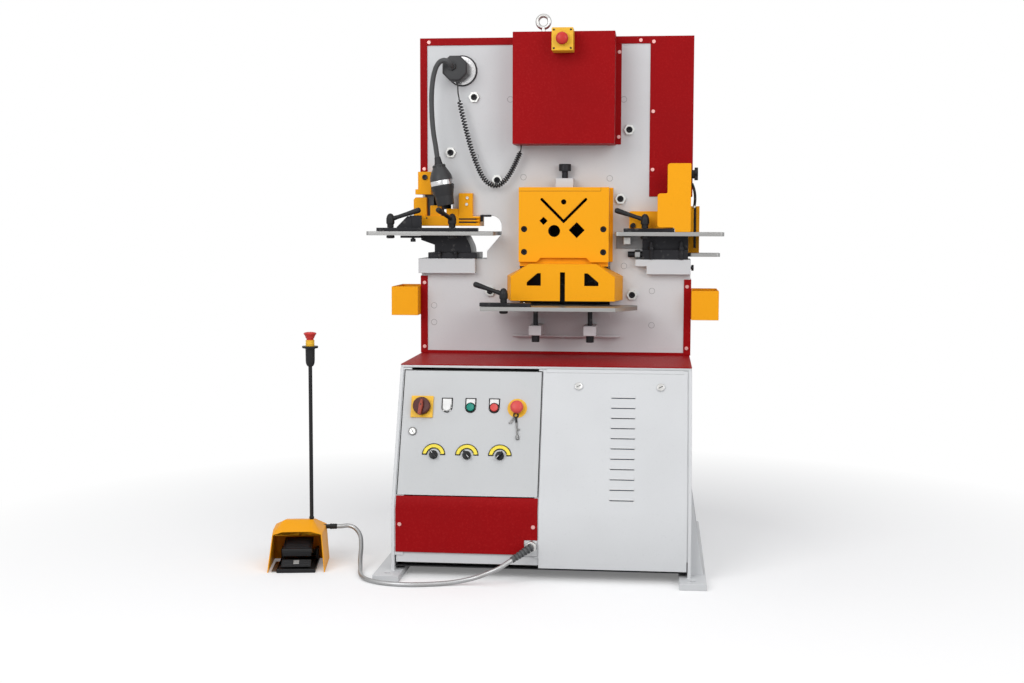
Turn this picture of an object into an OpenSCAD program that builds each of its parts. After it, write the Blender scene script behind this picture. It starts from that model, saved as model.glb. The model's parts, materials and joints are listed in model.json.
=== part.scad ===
// Hydraulic ironworker: punch, angle and bar shear, flat shear and notcher on one vertical ram.
// Origin: centre of the four anchor holes, on the floor. +X right, +Y to the rear, +Z up.

/* [Frame] */
// Width of the frame plates
frame_w = 900; // [880:5:960]
// Height of the frame plates above the base
frame_h = 1049; // [1040:1:1100]
// Thickness of each frame plate
plate_t = 30; // [24:1:40]
// Gap between the frame plates, in which the ram slides
ram_gap = 60; // [56:1:80]
// Face of the front plate behind the anchor centre
plate_y = 192; // [170:1:220]
// Side ledges above the base
ledge_h = 273; // [265:1:280]
// Depth of the punch throat from the left edge
throat_d = 271; // [260:1:280]
// Top of the punch throat above the base
throat_h = 465; // [460:1:480]
// Underside of the frame heads above the base
head_h = 535; // [530:1:545]
// Centre line of cylinder and shears, right of the frame's middle
tool_x = 34; // [20:1:45]

/* [Base] */
// Height of the base
base_h = 627; // [600:1:660]
// Depth of the drip tray, from the front plate
tray_d = 395; // [380:1:420]
// Depth of the base's foot, from the front plate
toe_d = 570; // [550:1:590]
// Height of the fold where the slope meets the upright front
fold_h = 208; // [190:1:225]
// Wall of the base's sides
side_t = 10; // [8:1:14]
// Length of the foot rails
foot_len = 890; // [860:5:940]
// Thickness of the foot rails
foot_t = 20; // [15:1:25]
// Radius of the anchor holes
anchor_r = 9; // [6:0.5:11]
// Sheet of doors, panels and covers
sheet_t = 3; // [2:0.5:4]
// Lower edge of the control door
door_z = 249; // [240:1:260]
// Split between control door and access cover
split_x = -5; // [-20:1:20]

/* [Ram] */
// Stroke of the ram
stroke = 45; // [30:1:46]
// Bore of the cylinder
cyl_bore = 160; // [140:1:170]
// Diameter of the piston rod
rod_d = 55; // [40:1:56]

/* [Punch station] */
// Working height of the punch and notcher tables above the base
work_h = 412.5; // [408:0.5:416]
// Thickness of the work tables
table_t = 13; // [10:0.5:15]
// Punch axis, from the frame's left edge
punch_inset = 48; // [46:1:52]
// Punch diameter
punch_d = 40; // [20:1:42]

/* [Shear station] */
// Height of the flat shear table above the base
shear_h = 173; // [170:1:178]
// Round bar opening
round_d = 39; // [20:1:42]
// Square bar opening
square_w = 37; // [20:1:38]
// Small square bar opening
small_sq_w = 19; // [10:1:20]
// Small round opening
small_round_d = 17; // [10:1:20]
// Width of the angle slot
angle_slot_w = 9; // [6:0.5:11]
// Length of each arm of the angle slot
angle_arm = 102; // [60:1:106]

/* [Covers and bins] */
// Width of the cylinder cover
box_w = 330; // [310:1:340]
// Height of the cylinder cover
box_h = 358; // [345:1:360]
// Depth of the cylinder cover
box_d = 120; // [90:1:140]
// Side bin: width, depth, height
bin_size = [89, 200, 96]; // [60:1:240]

/* [Work lamp and pedal] */
// Diameter of the lamp head
lamp_d = 74; // [60:1:78]
// Width of the pedal hood
hood_w = 176; // [160:1:200]
// Depth of the pedal hood
hood_d = 190; // [180:1:220]
// Height of the pedal hood
hood_h = 142; // [130:1:150]
// Height of the top of the emergency-stop pole's holder
pole_h = 685; // [600:1:720]
// Diameter of the stop mushrooms
mushroom_d = 40; // [36:1:44]

/* [Hidden] */
$fn = 48;

// Overrun of cuts, running clearance, gap between bodies, lip
cut = 1;
run = 0.05;
gap = 0.3;
lip = 20;

// Colours
grey = "gainsboro";
red = "firebrick";
yellow = "orange";
black = "dimgray";
steel = "silver";

// Frame planes and levels
fx = frame_w / 2;
y_front = plate_y;
y_in = y_front + plate_t;
y_out = y_in + ram_gap;
y_back = y_out + plate_t;
y_mid = (y_in + y_out) / 2;
z_base = base_h;
z_top = z_base + frame_h;
z_ledge = z_base + ledge_h;
bolster_h = 49;
z_bolster = z_ledge + bolster_h;
z_throat = z_base + throat_h;
z_head = z_base + head_h;
z_work = z_base + work_h;
z_shear = z_base + shear_h;

// Throat and notcher opening
throat_x = -fx + throat_d;
throat_r = 35;
root_w = 222;
root_x = -fx + root_w;
root_rise = 25;
bend_drop = 61;
head_w = 105;
head_x = -fx + head_w;
bolster_w = 185;
bolster_x = -fx + bolster_w;
notch_w = 145;
notch_x = fx - notch_w;
slot_w = 105;
slot_x = fx - slot_w;

// Windows for the cylinder and the shear blades
cyl_win_w = 230;
cyl_win_h = 310;
cyl_win_drop = 36;
z_cyl_top = z_top - cyl_win_drop;
z_cyl = z_cyl_top - cyl_win_h;
shear_win_w = 300;
shear_win = [tool_x - shear_win_w / 2, tool_x + shear_win_w / 2];
shear_win_rise = 372;
flat_blade_h = 40;
z_win = [z_shear - flat_blade_h, z_shear + shear_win_rise];

// Gib adjusters, as shares of the plate
gib_shares = [[-0.603, 0.817], [-0.778, 0.643], [0.543, 0.713], [0.482, 0.497], [0.573, 0.194],
              [-0.482, 0.203], [-0.431, 0.556]];
gib_d = 20;
gib_nut_af = 32;
gib_nut_t = 9;
gib_out = 14;
pad_d = 60;

// Edge covers
trim_w = 21;
right_cover_w = 139;
trim_top = z_top + sheet_t;
cover_drop = 6;
lower_trim_top = z_ledge - 11 * gap;
trim_drops = [6, 14];

// Shear openings, measured from the angle slot's corner
z_vee = z_shear + 273;
small_up = 64;
round_at = [-31, -31];
square_at = [43, -28];
small_sq_at = [-66, 2];

// Shear guard
guard_w = 296;
guard_x = [tool_x - guard_w / 2, tool_x + guard_w / 2];
guard_d = 80;
guard_t = 5;
guard_flange = 11;
z_guard = [z_shear + 140, z_shear + 385];
recess_w = 150;
recess_slant = 14;
recess_h = 14;
bolt_x = 130;
bolt_up = 33;
bolt_pitch = 75;
bolt_d = 20;

// Flat shear guard: front and rear outlines
flat_w = 340;
flat_back_w = 386;
flat_d = 120;
flat_gap = 14;
flat_shoulder_h = 79;
flat_h = 121;
flat_top_w = 220;
flat_wall = 4;
window_w = 46;
window_h = 41;
window_low = 22;
window_up = 50;
window_x = 71;
centre_slot_w = 16;
centre_slot_h = 95;

// Ram
ram_side = 5;
ram_y = [y_in + ram_side, y_out - ram_side];
ram_edge = 20;
ram_throat = 9;
ram_foot = 66;
ram_foot_h = 66;
ram_low = 22;
ram_arm_low = 12;
ram_arm_h = 78;
ram_end = 2;
ram_notch_end = 10;
ram_right_h = 85;
ram_left_tower = 205;
ram_left_top = 373;
ram_step = 80;
ram_step_top = 228;
ram_right_top = 288;
ram_neck_w = 130;
ram_neck_drop = 40;
z_ram_low = z_shear + ram_low;
z_ram_top = z_cyl - ram_neck_drop;
z_arm = z_head - ram_arm_low;
blade_deep = 18;
flat_blade_rise = 44;

// Punch tooling
punch_x = -fx + punch_inset;
holder_d = 88;
holder_h = 36;
punch_up = 20;
die_d = 66;
die_h = 27;
die_bore_gap = 1;
slug_d = 52;

// Punch table and its fence
table_left = 166;
table_gap = 11;
table_front = 120;
table_back = 20;
table_corner = 12;
fence_h = 12;
fence_w = 26;
fence_inset = 12;
stud_d = 12;
slot_gap = 1;
fence_travel = 30;
fence_y = y_front - table_front + fence_inset;
stud_y = fence_y + fence_w / 2;
fence_left = 133;
fence_right = 204;
left_lever_x = -fx - 88;
right_lever_x = -fx + 118;
stop_w = 50;
stop_d = 34;
stop_h = 50;
stop_left = 70;

// Die holder
die_base_x = [26, 190];
die_base_h = 20;
die_base_y = 22;
die_body_y = 10;
neck_share = 0.28;

// Stripper: bracket, fork plate, rails and mounting block
bracket_x = [-5, 39];
bracket_h = 75;
bracket_d = 40;
flange_h = 17;
flange_out = 14;
strip_up = 18;
strip_plate_t = 10;
strip_x = [8, 99];
strip_front = 27;
strip_rail_h = 33;
strip_rail_d = 30;
strip_left_x = [-22, 22];
strip_left_rise = 79;
strip_left_up = 16;
strip_stub_x = [34, 69];
strip_stub_h = 68;
strip_block_x = [130, 176];
strip_block_h = 109;
strip_end_x = 200;
groove_h = 5;
groove_deep = 14;
groove_shares = [0.3, 0.62];
fork_w = 48;

// Notcher
ntable_x = [fx - 248, fx + 105];
ntable_front = 100;
ntable_back = 295;
notch_die_x = [fx - 159, fx - 9];
notch_base_h = 33;
notch_base_y = 27;
notch_die_y = 10;
notch_hole = [80, 80];
notch_punch_gap = 1.5;
notch_hole_x = fx - 57;
notch_punch_up = 14;
tongue_x = fx + 97;
tongue_t = 12;
tongue_y = [200, 290];
adjuster_r = 10;
adjuster_len = 48;
adjuster_head = 13;
adjuster_nut = 18;
notch_fence_x = [fx - 220, fx - 55];
notch_lever_x = fx - 151;
step_lip_x = fx - 182;
step_lip_h = 23;
pad_block = 24;
pad_block_x = fx - 222;
pad_block_d = 20;
pad_block_drop = 41;
wing_x = [fx - 203, fx - 58];
wing_h = 60;
wing_d = 40;
wing_up = 8;
nguard_x = [fx - 111, fx - 79, fx - 3];
nguard_front = 90;
nguard_t = 6;
nguard_low = 15;
nguard_mid = 125;
nguard_top = 222;
ntail_w = 51;
tail_x = [fx - 9, fx + 30];
tail_y = [298, 334];
tail_z = [965, 1126];
tail_slot = 8;
knob_z = 188;
knob_y = 146;
knob_r = 22;
knob_len = 22;
knob_stem_r = 8;
knob_lobes = 5;

// Shear table, brackets and fence
bench_x = [-223, 277];
bench_front = 235;
bench_back = 61;
bench_cut = [68, 110];
shear_tongue_w = 290;
block_w = 41;
block_h = 32;
block_d = 120;
block_drop = 67;
bracket_pitch = 179;
bracket_screw_d = 16;
bracket_foot_d = 26;
bracket_foot_h = 23;
shear_fence_x = [-227, -62];
shear_fence_y = -21;
shear_lever_x = -150;
shear_travel = 40;

// Clamp levers
hub_r = 14;
hub_h = 34;
hub_neck_r = 11;
hub_neck_h = 12;
arm_len = 105;
arm_r = [7, 8.5];
arm_rise = 18;
nut_under_r = 14;
nut_under_h = 10;

// Hold-down screw and its block
hold_w = 58;
hold_h = 30;
hold_d = 50;
hold_screw_r = 10;
hold_head_r = 20;
hold_head_h = 23;
hold_neck = 24;
hold_tip = 12;

// Lamp
lamp_disc_r = 51;
lamp_disc_t = 8;
lamp_at = [-312, 1571];
lamp_box_r = 50;
lamp_box_d = 60;
lamp_box_at = [-322, 1576];
neck_d = 17;
neck_route = [[-336, 124, 1580], [-337, 108, 1581], [-342, 96, 1588], [-354, 90, 1595],
              [-370, 91, 1591], [-383, 96, 1576], [-392, 100, 1552], [-398, 103, 1520],
              [-401, 105, 1480], [-401, 107, 1440], [-399, 108, 1400], [-395, 109, 1360],
              [-389, 110, 1322], [-385, 111.5, 1294], [-382.3, 112, 1277], [-379.5, 112, 1262]];
head_from = [-379.5, 112, 1262];
head_to = [-355.4, 112, 1125];
cone_share = 0.42;
band_share = 0.56;
collar_r = 14;
lamp_wall = 4;

// Curly cord: size and count of curls, and centre line
cord_d = 4;
curl_r = 6.5;
curls = 66;
curl_rings = 8;
curl_sides = 6;
spread_share = 0.2;
cord_lead = [[-322, 160, lamp_box_at[1] - lamp_box_r], [-322, 160, 1520], [-322, 160, 1508],
             [-321, 160, 1494], [-318, 160, 1480]];
cord_route = [[-317, 160, 1474], [-312, 160, 1448], [-303, 160, 1410], [-292, 160, 1366],
              [-280, 160, 1322], [-266, 160, 1280], [-250, 160, 1241], [-232, 160, 1211],
              [-212, 160, 1195], [-190, 160, 1192], [-170, 160, 1203], [-152, 160, 1224],
              [-136, 160, 1252], [-122, 160, 1282], [-113, 160, 1304]];
box_low = trim_top + sheet_t - box_h;
cord_tail = [[-111.5, 160, 1311], [-111, 160, 1317], [-111, 160, box_low]];

// Pedal
pedal_at = [-763, -270];
pedal_yaw = 9;
hood_wall = 3;
hood_taper = 8;
hood_side_h = 112;
hood_ridge = [45, hood_h];
hood_lean = 42;
hood_mouth = [[44, 118], [76, 108]];
hood_crest = 10;
hood_rear = [45, 128];
pedal_base_w = 118;
pedal_base_t = 12;
cheek_t = 10;
cheek_h = 34;
cheek_d = 30;
hinge_y = 52;
hinge_z = 30;
hinge_r = 5;
hinge_boss_r = 10;
treadle_w = 96;
treadle_len = 120;
treadle_t = 12;
treadle_tilt = 14;
treadle_sink = 2;
pole_at = [38, 34];
pole_r = 6;
pole_foot_r = 14;
pole_foot_h = 10;
holder_r = 14.5;
pole_holder_h = 64;
pole_cap_up = 24;
pole_ring_r = 13.5;
holder_disc_r = 25;
holder_disc_t = 7;
stop_ring_h = 14;
stop_cap_h = 20;
stop_travel = 5;
stem_r = 11;

// Cable from the pedal to the base
cable_d = 14;
cable_sides = 10;
cable_steps = 2;
gland_y = 68;
gland_z = 108;
gland_len = 44;
gland_in = 6;
gland_r = 9;
cable_route = [[-624, -177, 109], [-602, -182, 102], [-582, -203, 84], [-572, -236, 58],
               [-566, -278, 32], [-556, -326, 13], [-544, -380, 7.2], [-521, -434, 7.1],
               [-482, -470, 7.1], [-430, -490, 7.1], [-370, -494, 7.1], [-305, -480, 7.3],
               [-245, -462, 10], [-190, -454, 21], [-150, -453, 36], [-114, -450, 52]];
relief_from = [-24, -392, 104];
relief_to = [-78, -430, 73];
relief_r = [13, 9.5];
relief_ribs = 9;
rib_share = 0.5;
outlet_x = [-50, -7];
outlet_z = [72, 122];
gland_nut_af = 30;

// Controls on the sloped door
row_z = 503;
switch_x = -fx + 76;
pilot_x = -297;
start_x = -224;
stop_x = -151;
estop_x = -80;
lock_at = [-fx + 51, 431];
selector_z = 364;
selector_x = [-330, -228, -127];
switch_plate = 68;
switch_plate_t = 6;
switch_r = 27;
switch_h = 16;
grip_w = 12;
grip_h = 10;
button_r = 12;
button_h = 9;
bezel_w = 34;
bezel_up = 30;
bezel_t = 2;
legend_r = 30;
legend_t = 2;
panel_cap_up = 10;
selector_r = 13;
selector_h = 20;
dial_r = 36;
dial_in_r = 20;
shaft_r = 5;
shaft_in = 14;
lock_r = 13;
lock_h = 4;
cover_lock_x = [fx - 344, fx - 94];
cover_lock_z = 570;
louvres = 11;
louvre_w = 72;
louvre_h = 5;
louvre_x = fx - 207;
louvre_z = [246, 538];

// Bins
bin_drops = [48, 40];
bin_fore_share = 0.3;

// Eye bolt
eye_x = -46;
eye_r = 20;
eye_wire_r = 7;
eye_up = 58;
eye_seat_r = 18;
eye_seat_h = 12;
eye_shank_r = 8;
eye_shank = 24;

// Emergency-stop box on the cylinder cover
estop_box = [69, 65, 73];
estop_box_over = 4;

// Hydraulic and electrical parts in the base
tank_size = [360, 330, 240];
tank_at = [50, -190, 60];
tank_wall = 4;
motor_r = 95;
motor_wall = 12;
motor_h = 250;
motor_lid = 14;
rotor_r = 70;
rotor_h = 170;
shaft_d = 28;
pump_r = 60;
pump_h = 110;
panel_y = 40;
panel_z = [190, 570];
contactor = [60, 70, 90];
contactor_shares = [0.14, 0.38, 0.62, 0.86];
row_shares = [0.28, 0.72];

// Base
top_t = 8;
sink = sheet_t / 2;
y_tray = y_front - tray_d;
y_toe = y_front - toe_d;
base_rear = 33;
y_rear = y_back + base_rear;
slope_k = (y_tray - y_toe) / (z_base - fold_h);
slope_a = atan(slope_k);
foot_out = 45;
foot_in = 35;
anchor_x = fx + (foot_out - foot_in) / 2;
anchor_in = 35;
anchor_y = foot_len / 2 - anchor_in;
gusset_t = 8;
gusset_w = 38;
gusset_h = 255;
gusset_front = 45;
flange_w = 26;
panel_gap = 3;
kick_z = 77;
cover_z = 38;
beam_h = 46;
beam_t = 30;
beam_inset = 100;
notch_in = [40, 45];
door_top = z_base - top_t - 2 * panel_gap;
door_x = [-fx + side_t + panel_gap, split_x - panel_gap / 2];
cover_x = [split_x + panel_gap / 2, fx - side_t - panel_gap];
screw_r = 6;
screw_t = 2.5;
tray_rise = 12;

// Height where an inset front folds, and its depth at z
function fold_at(inset) = fold_h - inset * (1 / cos(slope_a) - 1) / slope_k;
function front_y(z, inset) =
    z > fold_at(inset) ? y_toe + (z - fold_h) * slope_k + inset / cos(slope_a) : y_toe + inset;

// Limits moved by c, and limits of a width about c
function at(c, v) = [for (e = v) c + e];
function about(c, w) = [c - w / 2, c + w / 2];

// Vector helpers and smooth routes for tubes
function unit(v) = v / norm(v);
function between(p, i, t) =
    let(a = p[max(i - 1, 0)], b = p[i], c = p[i + 1], d = p[min(i + 2, len(p) - 1)])
    0.5 * (2 * b + (c - a) * t + (2 * a - 5 * b + 4 * c - d) * t * t + (3 * b - a - 3 * c + d) * t * t * t);
function smooth(p, steps) =
    concat([for (i = [0:len(p) - 2]) for (s = [0:steps - 1]) between(p, i, s / steps)], [p[len(p) - 1]]);
function heading(p, i) = unit(p[min(i + 1, len(p) - 1)] - p[max(i - 1, 0)]);
function carried(n, t) = unit(n - (n * t) * t);
function sides_of(p, ref) =
    [for (i = 0, n = carried(ref, heading(p, 0)); i < len(p);
          i = i + 1, n = carried(n, heading(p, min(i, len(p) - 1)))) n];
function ring(p, i, n, r, sides) =
    let(t = heading(p, i), b = cross(t, n))
    [for (k = [0:sides - 1]) p[i] + r * (cos(360 * k / sides) * n + sin(360 * k / sides) * b)];

// Closed tube of radius r along the points p
module tube(p, r, sides, ref) {
    n = sides_of(p, ref);
    rings = len(p);
    points = concat([for (i = [0:rings - 1]) each ring(p, i, n[i], r, sides)], [p[0], p[rings - 1]]);
    walls = [for (i = [0:rings - 2]) for (k = [0:sides - 1])
             let(a = i * sides + k, b = i * sides + (k + 1) % sides)
             each [[a, a + sides, b], [b, a + sides, b + sides]]];
    first = [for (k = [0:sides - 1]) [rings * sides, k, (k + 1) % sides]];
    last = [for (k = [0:sides - 1])
            [rings * sides + 1, (rings - 1) * sides + (k + 1) % sides, (rings - 1) * sides + k]];
    polyhedron(points, concat(walls, first, last));
}

// Boxes and outlines between limits
module span(x, y, z) {
    translate([x[0], y[0], z[0]]) cube([x[1] - x[0], y[1] - y[0], z[1] - z[0]]);
}
module along_x(x) {
    translate([x[0], 0, 0]) rotate([90, 0, 90]) linear_extrude(x[1] - x[0]) children();
}
module along_y(y) {
    translate([0, y[1], 0]) rotate([90, 0, 0]) linear_extrude(y[1] - y[0]) children();
}
module along_z(z) {
    translate([0, 0, z[0]]) linear_extrude(z[1] - z[0]) children();
}
module rod_x(y, z, r, x) {
    translate([x[0], y, z]) rotate([0, 90, 0]) cylinder(r = r, h = x[1] - x[0]);
}
module rod_y(x, z, r, y) {
    translate([x, y[0], z]) rotate([-90, 0, 0]) cylinder(r = r, h = y[1] - y[0]);
}
module rod_z(x, y, r, z) {
    translate([x, y, z[0]]) cylinder(r = r, h = z[1] - z[0]);
}
module hex_y(x, z, across, y) {
    translate([x, y[0], z]) rotate([-90, 0, 0]) cylinder(d = across / cos(30), h = y[1] - y[0], $fn = 6);
}

// Solid drawn along +Z, pointed along a line
module aimed(from, to) {
    v = to - from;
    translate(from) rotate([0, acos(v[2] / norm(v)), atan2(v[1], v[0])]) children();
}

// Rectangle with round corners, from its low corner
module rounded(size, r) {
    translate([r, 0]) square([size[0] - 2 * r, size[1]]);
    translate([0, r]) square([size[0], size[1] - 2 * r]);
    for (x = [r, size[0] - r])
        for (y = [r, size[1] - r])
            translate([x, y]) circle(r);
}

// Sheet along the base's front
module front_sheet(x, z, inset, t) {
    deep = inset + t;
    outer_fold = z[0] < fold_at(inset) ? [[front_y(fold_at(inset), inset), fold_at(inset)]] : [];
    inner_fold = z[0] < fold_at(deep) ? [[front_y(fold_at(deep), deep), fold_at(deep)]] : [];
    outer = concat([[front_y(z[1], inset), z[1]]], outer_fold, [[front_y(z[0], inset), z[0]]]);
    inner = concat([[front_y(z[0], deep), z[0]]], inner_fold, [[front_y(z[1], deep), z[1]]]);
    along_x(x) polygon(concat(outer, inner));
}

// Local frame on the sloped front: X right, Y up the slope, Z outwards
module on_slope(x, z) {
    translate([x, front_y(z, 0), z]) rotate([90 - slope_a, 0, 0]) children();
}

// Places of the gib adjusters
function gib_at(s) = [s[0] * fx, z_base + s[1] * frame_h];

// Outline shared by both frame plates
module plate_outline() {
    difference() {
        translate([-fx, z_base]) square([frame_w, frame_h]);
        polygon([[-fx - cut, z_ledge], [bolster_x, z_ledge], [bolster_x, z_bolster], [root_x, z_bolster],
                 [root_x, z_bolster + root_rise], [throat_x, z_throat - bend_drop],
                 [throat_x, z_throat - throat_r], [throat_x - throat_r, z_throat], [head_x, z_throat],
                 [head_x, z_head], [-fx - cut, z_head]]);
        translate([throat_x - throat_r, z_throat - throat_r]) circle(throat_r);
        translate([slot_x, z_ledge]) square([slot_w + cut, z_head - z_ledge]);
        translate([tool_x - cyl_win_w / 2, z_cyl]) square([cyl_win_w, cyl_win_h]);
        translate([shear_win[0], z_win[0]]) square([shear_win_w, z_win[1] - z_win[0]]);
    }
}

module front_plate() {
    color(grey) difference() {
        along_y([y_front, y_in]) plate_outline();
        for (s = gib_shares)
            rod_y(gib_at(s)[0], gib_at(s)[1], gib_d / 2 + run, [y_front - cut, y_in + cut]);
    }
}

module rear_plate() {
    color(grey) along_y([y_out, y_back]) plate_outline();
}

// Spacers between the plates
spacer_in = 6;
spacer_low_h = 105;
spacer_ledge_h = 92;
spacer_left_w = 185;
spacer_right_w = 130;
spacer_top_w = 118;
spacer_top_h = 150;
eye_block = [60, 30];
module frame_spacers() {
    y = [y_in, y_out];
    color(steel) {
        span([-fx + spacer_in, fx - spacer_in], y, [z_base + spacer_in, z_base + spacer_low_h]);
        difference() {
            span([-fx + spacer_in, -fx + spacer_left_w], y, [z_ledge - spacer_ledge_h, z_ledge]);
            rod_z(punch_x, y_mid, slug_d / 2, [z_ledge - spacer_ledge_h - cut, z_ledge + cut]);
        }
        span([fx - spacer_right_w, fx - spacer_in], y, [z_ledge - spacer_ledge_h, z_ledge]);
        for (s = [-1, 1])
            mirror([s < 0 ? 1 : 0, 0, 0])
                span([fx - spacer_top_w, fx - spacer_in], y, [z_top - spacer_top_h, z_top - spacer_in]);
        difference() {
            span([eye_x - eye_block[0] / 2, eye_x + eye_block[0] / 2], y, [z_top - eye_block[1], z_top]);
            rod_z(eye_x, y_mid, eye_shank_r + run, [z_top - eye_shank - run, z_top + cut]);
        }
    }
}

module guide_pads() {
    color("peru") for (s = gib_shares) {
        rod_y(gib_at(s)[0], gib_at(s)[1], pad_d / 2, [y_in, ram_y[0] - gap]);
        rod_y(gib_at(s)[0], gib_at(s)[1], pad_d / 2, [ram_y[1] + gap, y_out]);
    }
}

module gib_nuts() {
    color(steel) for (s = gib_shares) difference() {
        hex_y(gib_at(s)[0], gib_at(s)[1], gib_nut_af, [y_front - gib_nut_t, y_front]);
        rod_y(gib_at(s)[0], gib_at(s)[1], gib_d / 2 + run, [y_front - gib_nut_t - cut, y_front + cut]);
    }
}

// Edge channel
module edge_channel(side, w, z) {
    x = side > 0 ? [fx - w, fx + sheet_t] : [-fx - sheet_t, -fx + w];
    wall = side > 0 ? [fx, fx + sheet_t] : [-fx - sheet_t, -fx];
    span(x, [y_front - sheet_t, y_front], z);
    span(x, [y_back, y_back + sheet_t], z);
    span(wall, [y_front - sheet_t, y_back + sheet_t], z);
}

module edge_covers() {
    tray_seat = z_base + sheet_t;
    top_x = [-fx - sheet_t, fx - right_cover_w];
    color(red) {
        difference() {
            union() {
                edge_channel(-1, trim_w, [z_head + bracket_h, trim_top]);
                span(top_x, [y_front - sheet_t, y_back + sheet_t], [z_top, trim_top]);
                span(top_x, [y_front - sheet_t, y_front], [z_top - trim_w, trim_top]);
                span(top_x, [y_back, y_back + sheet_t], [z_top - trim_w, trim_top]);
            }
            rod_z(eye_x, y_mid, eye_shank_r + gap, [z_top - cut, trim_top + cut]);
        }
        edge_channel(1, right_cover_w, [z_head - cover_drop, trim_top]);
        span([fx - right_cover_w, fx + sheet_t], [y_front - sheet_t, y_back + sheet_t], [z_top, trim_top]);
        for (s = [-1, 1])
            edge_channel(s, trim_w, [tray_seat, lower_trim_top - trim_drops[max(s, 0)]]);
    }
}

// Box over the cylinder, with flanges
box_flange = 18;
module cylinder_cover() {
    x = [tool_x - box_w / 2, tool_x + box_w / 2];
    z = [box_low, box_low + box_h];
    y = [y_front - box_d, y_front];
    flange_z = [z[0] + sheet_t, z_top - trim_w - gap];
    color(red) difference() {
        union() {
            difference() {
                span(x, y, z);
                span(x + sheet_t * [1, -1], [y[0] + sheet_t, y[1] + cut], z + sheet_t * [1, -1]);
            }
            span([x[0] - box_flange / 2, x[0] + sheet_t], [y_front - sheet_t, y_front], flange_z);
            span([x[1] - sheet_t, x[1] + box_flange], [y_front - sheet_t, y_front], flange_z);
        }
        span(x + cut * [-1, 1], [y_front - sheet_t, y_front + cut], [z_top - trim_w - gap, z[1] + cut]);
    }
}

module lifting_eye() {
    color(steel) {
        rod_z(eye_x, y_mid, eye_shank_r, [z_top - eye_shank, trim_top + eye_seat_h]);
        rod_z(eye_x, y_mid, eye_seat_r, [trim_top, trim_top + eye_seat_h]);
        rod_z(eye_x, y_mid, eye_wire_r, [trim_top, trim_top + eye_up - eye_r]);
        translate([eye_x, y_mid, trim_top + eye_up])
            rotate([90, 0, 0]) rotate_extrude() translate([eye_r, 0]) circle(eye_wire_r);
    }
}

// Side wall with its foot rail and gussets
module base_side(gussets) {
    z = [foot_t, z_base - top_t];
    difference() {
        union() {
            along_x([fx - side_t, fx])
                polygon([[front_y(z[1], 0), z[1]], [y_toe, fold_h], [y_toe, z[0]], [y_rear, z[0]],
                         [y_rear, z[1]]]);
            span([fx - foot_in, fx + foot_out], [-foot_len / 2, foot_len / 2], [0, foot_t]);
            for (y = gussets)
                along_y([y, y + gusset_t])
                    polygon([[fx, foot_t], [fx + gusset_w, foot_t], [fx, foot_t + gusset_h]]);
        }
        for (y = [-anchor_y, anchor_y])
            rod_z(anchor_x, y, anchor_r, [-cut, foot_t + cut]);
    }
}

module base_frame() {
    inner = [-fx + side_t, fx - side_t];
    z = [foot_t, z_base - top_t];
    seat = sheet_t + gap;
    split = about(split_x, flange_w);
    back = [y_rear - sheet_t, y_rear];
    beam = at(y_toe + beam_inset, [0, beam_t]);
    pan = [cover_z, cover_z + sheet_t];
    front_gusset = y_toe + gusset_front;
    rear_gusset = y_rear - gusset_front;
    color(grey) {
        base_side([front_gusset, rear_gusset]);
        mirror([1, 0, 0]) base_side([rear_gusset]);
        span([-fx, fx], [y_tray, y_rear], [z_base - top_t, z_base]);
        span(inner, back, z);
        span(inner, [beam[1], back[0]], pan);
        span(inner, beam, [foot_t, foot_t + beam_h]);
        for (x = [[inner[0], inner[0] + flange_w], split, [inner[1] - flange_w, inner[1]]])
            front_sheet(x, [foot_t + beam_h, z[1]], seat, sheet_t);
        along_x([split_x - sheet_t / 2, split_x + sheet_t / 2])
            polygon([[front_y(z[1], seat + sheet_t), z[1]],
                     [front_y(fold_h, seat + sheet_t), fold_at(seat + sheet_t)],
                     [beam[1], fold_at(seat + sheet_t)], [beam[1], pan[1]], [back[0], pan[1]],
                     [back[0], z[1]]]);
        span(outlet_x, [y_toe + seat - gap, y_toe + seat + sheet_t], outlet_z);
    }
    color(steel) {
        span([inner[0], split_x - sheet_t / 2], [panel_y, panel_y + sheet_t], panel_z);
        for (s = contactor_shares)
            for (t = row_shares)
                translate([inner[0] + s * (split_x - inner[0]) - contactor[0] / 2, panel_y - contactor[1],
                           panel_z[0] + t * (panel_z[1] - panel_z[0]) - contactor[2] / 2])
                    cube(contactor);
    }
}

module drip_tray() {
    color(red) {
        span([-fx, fx], [y_tray, y_front], [z_base, z_base + sheet_t]);
        span([-fx + trim_w + gap, fx - trim_w - gap], [y_front - sheet_t, y_front],
             [z_base, z_base + tray_rise]);
    }
}

module kick_panel() {
    color(red) difference() {
        front_sheet(door_x, [kick_z, door_z - panel_gap], 0, sheet_t);
        span([door_x[1] - notch_in[0], door_x[1] + cut], at(y_toe, [-cut, sheet_t + cut]),
             [kick_z - cut, kick_z + notch_in[1]]);
    }
}

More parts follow.
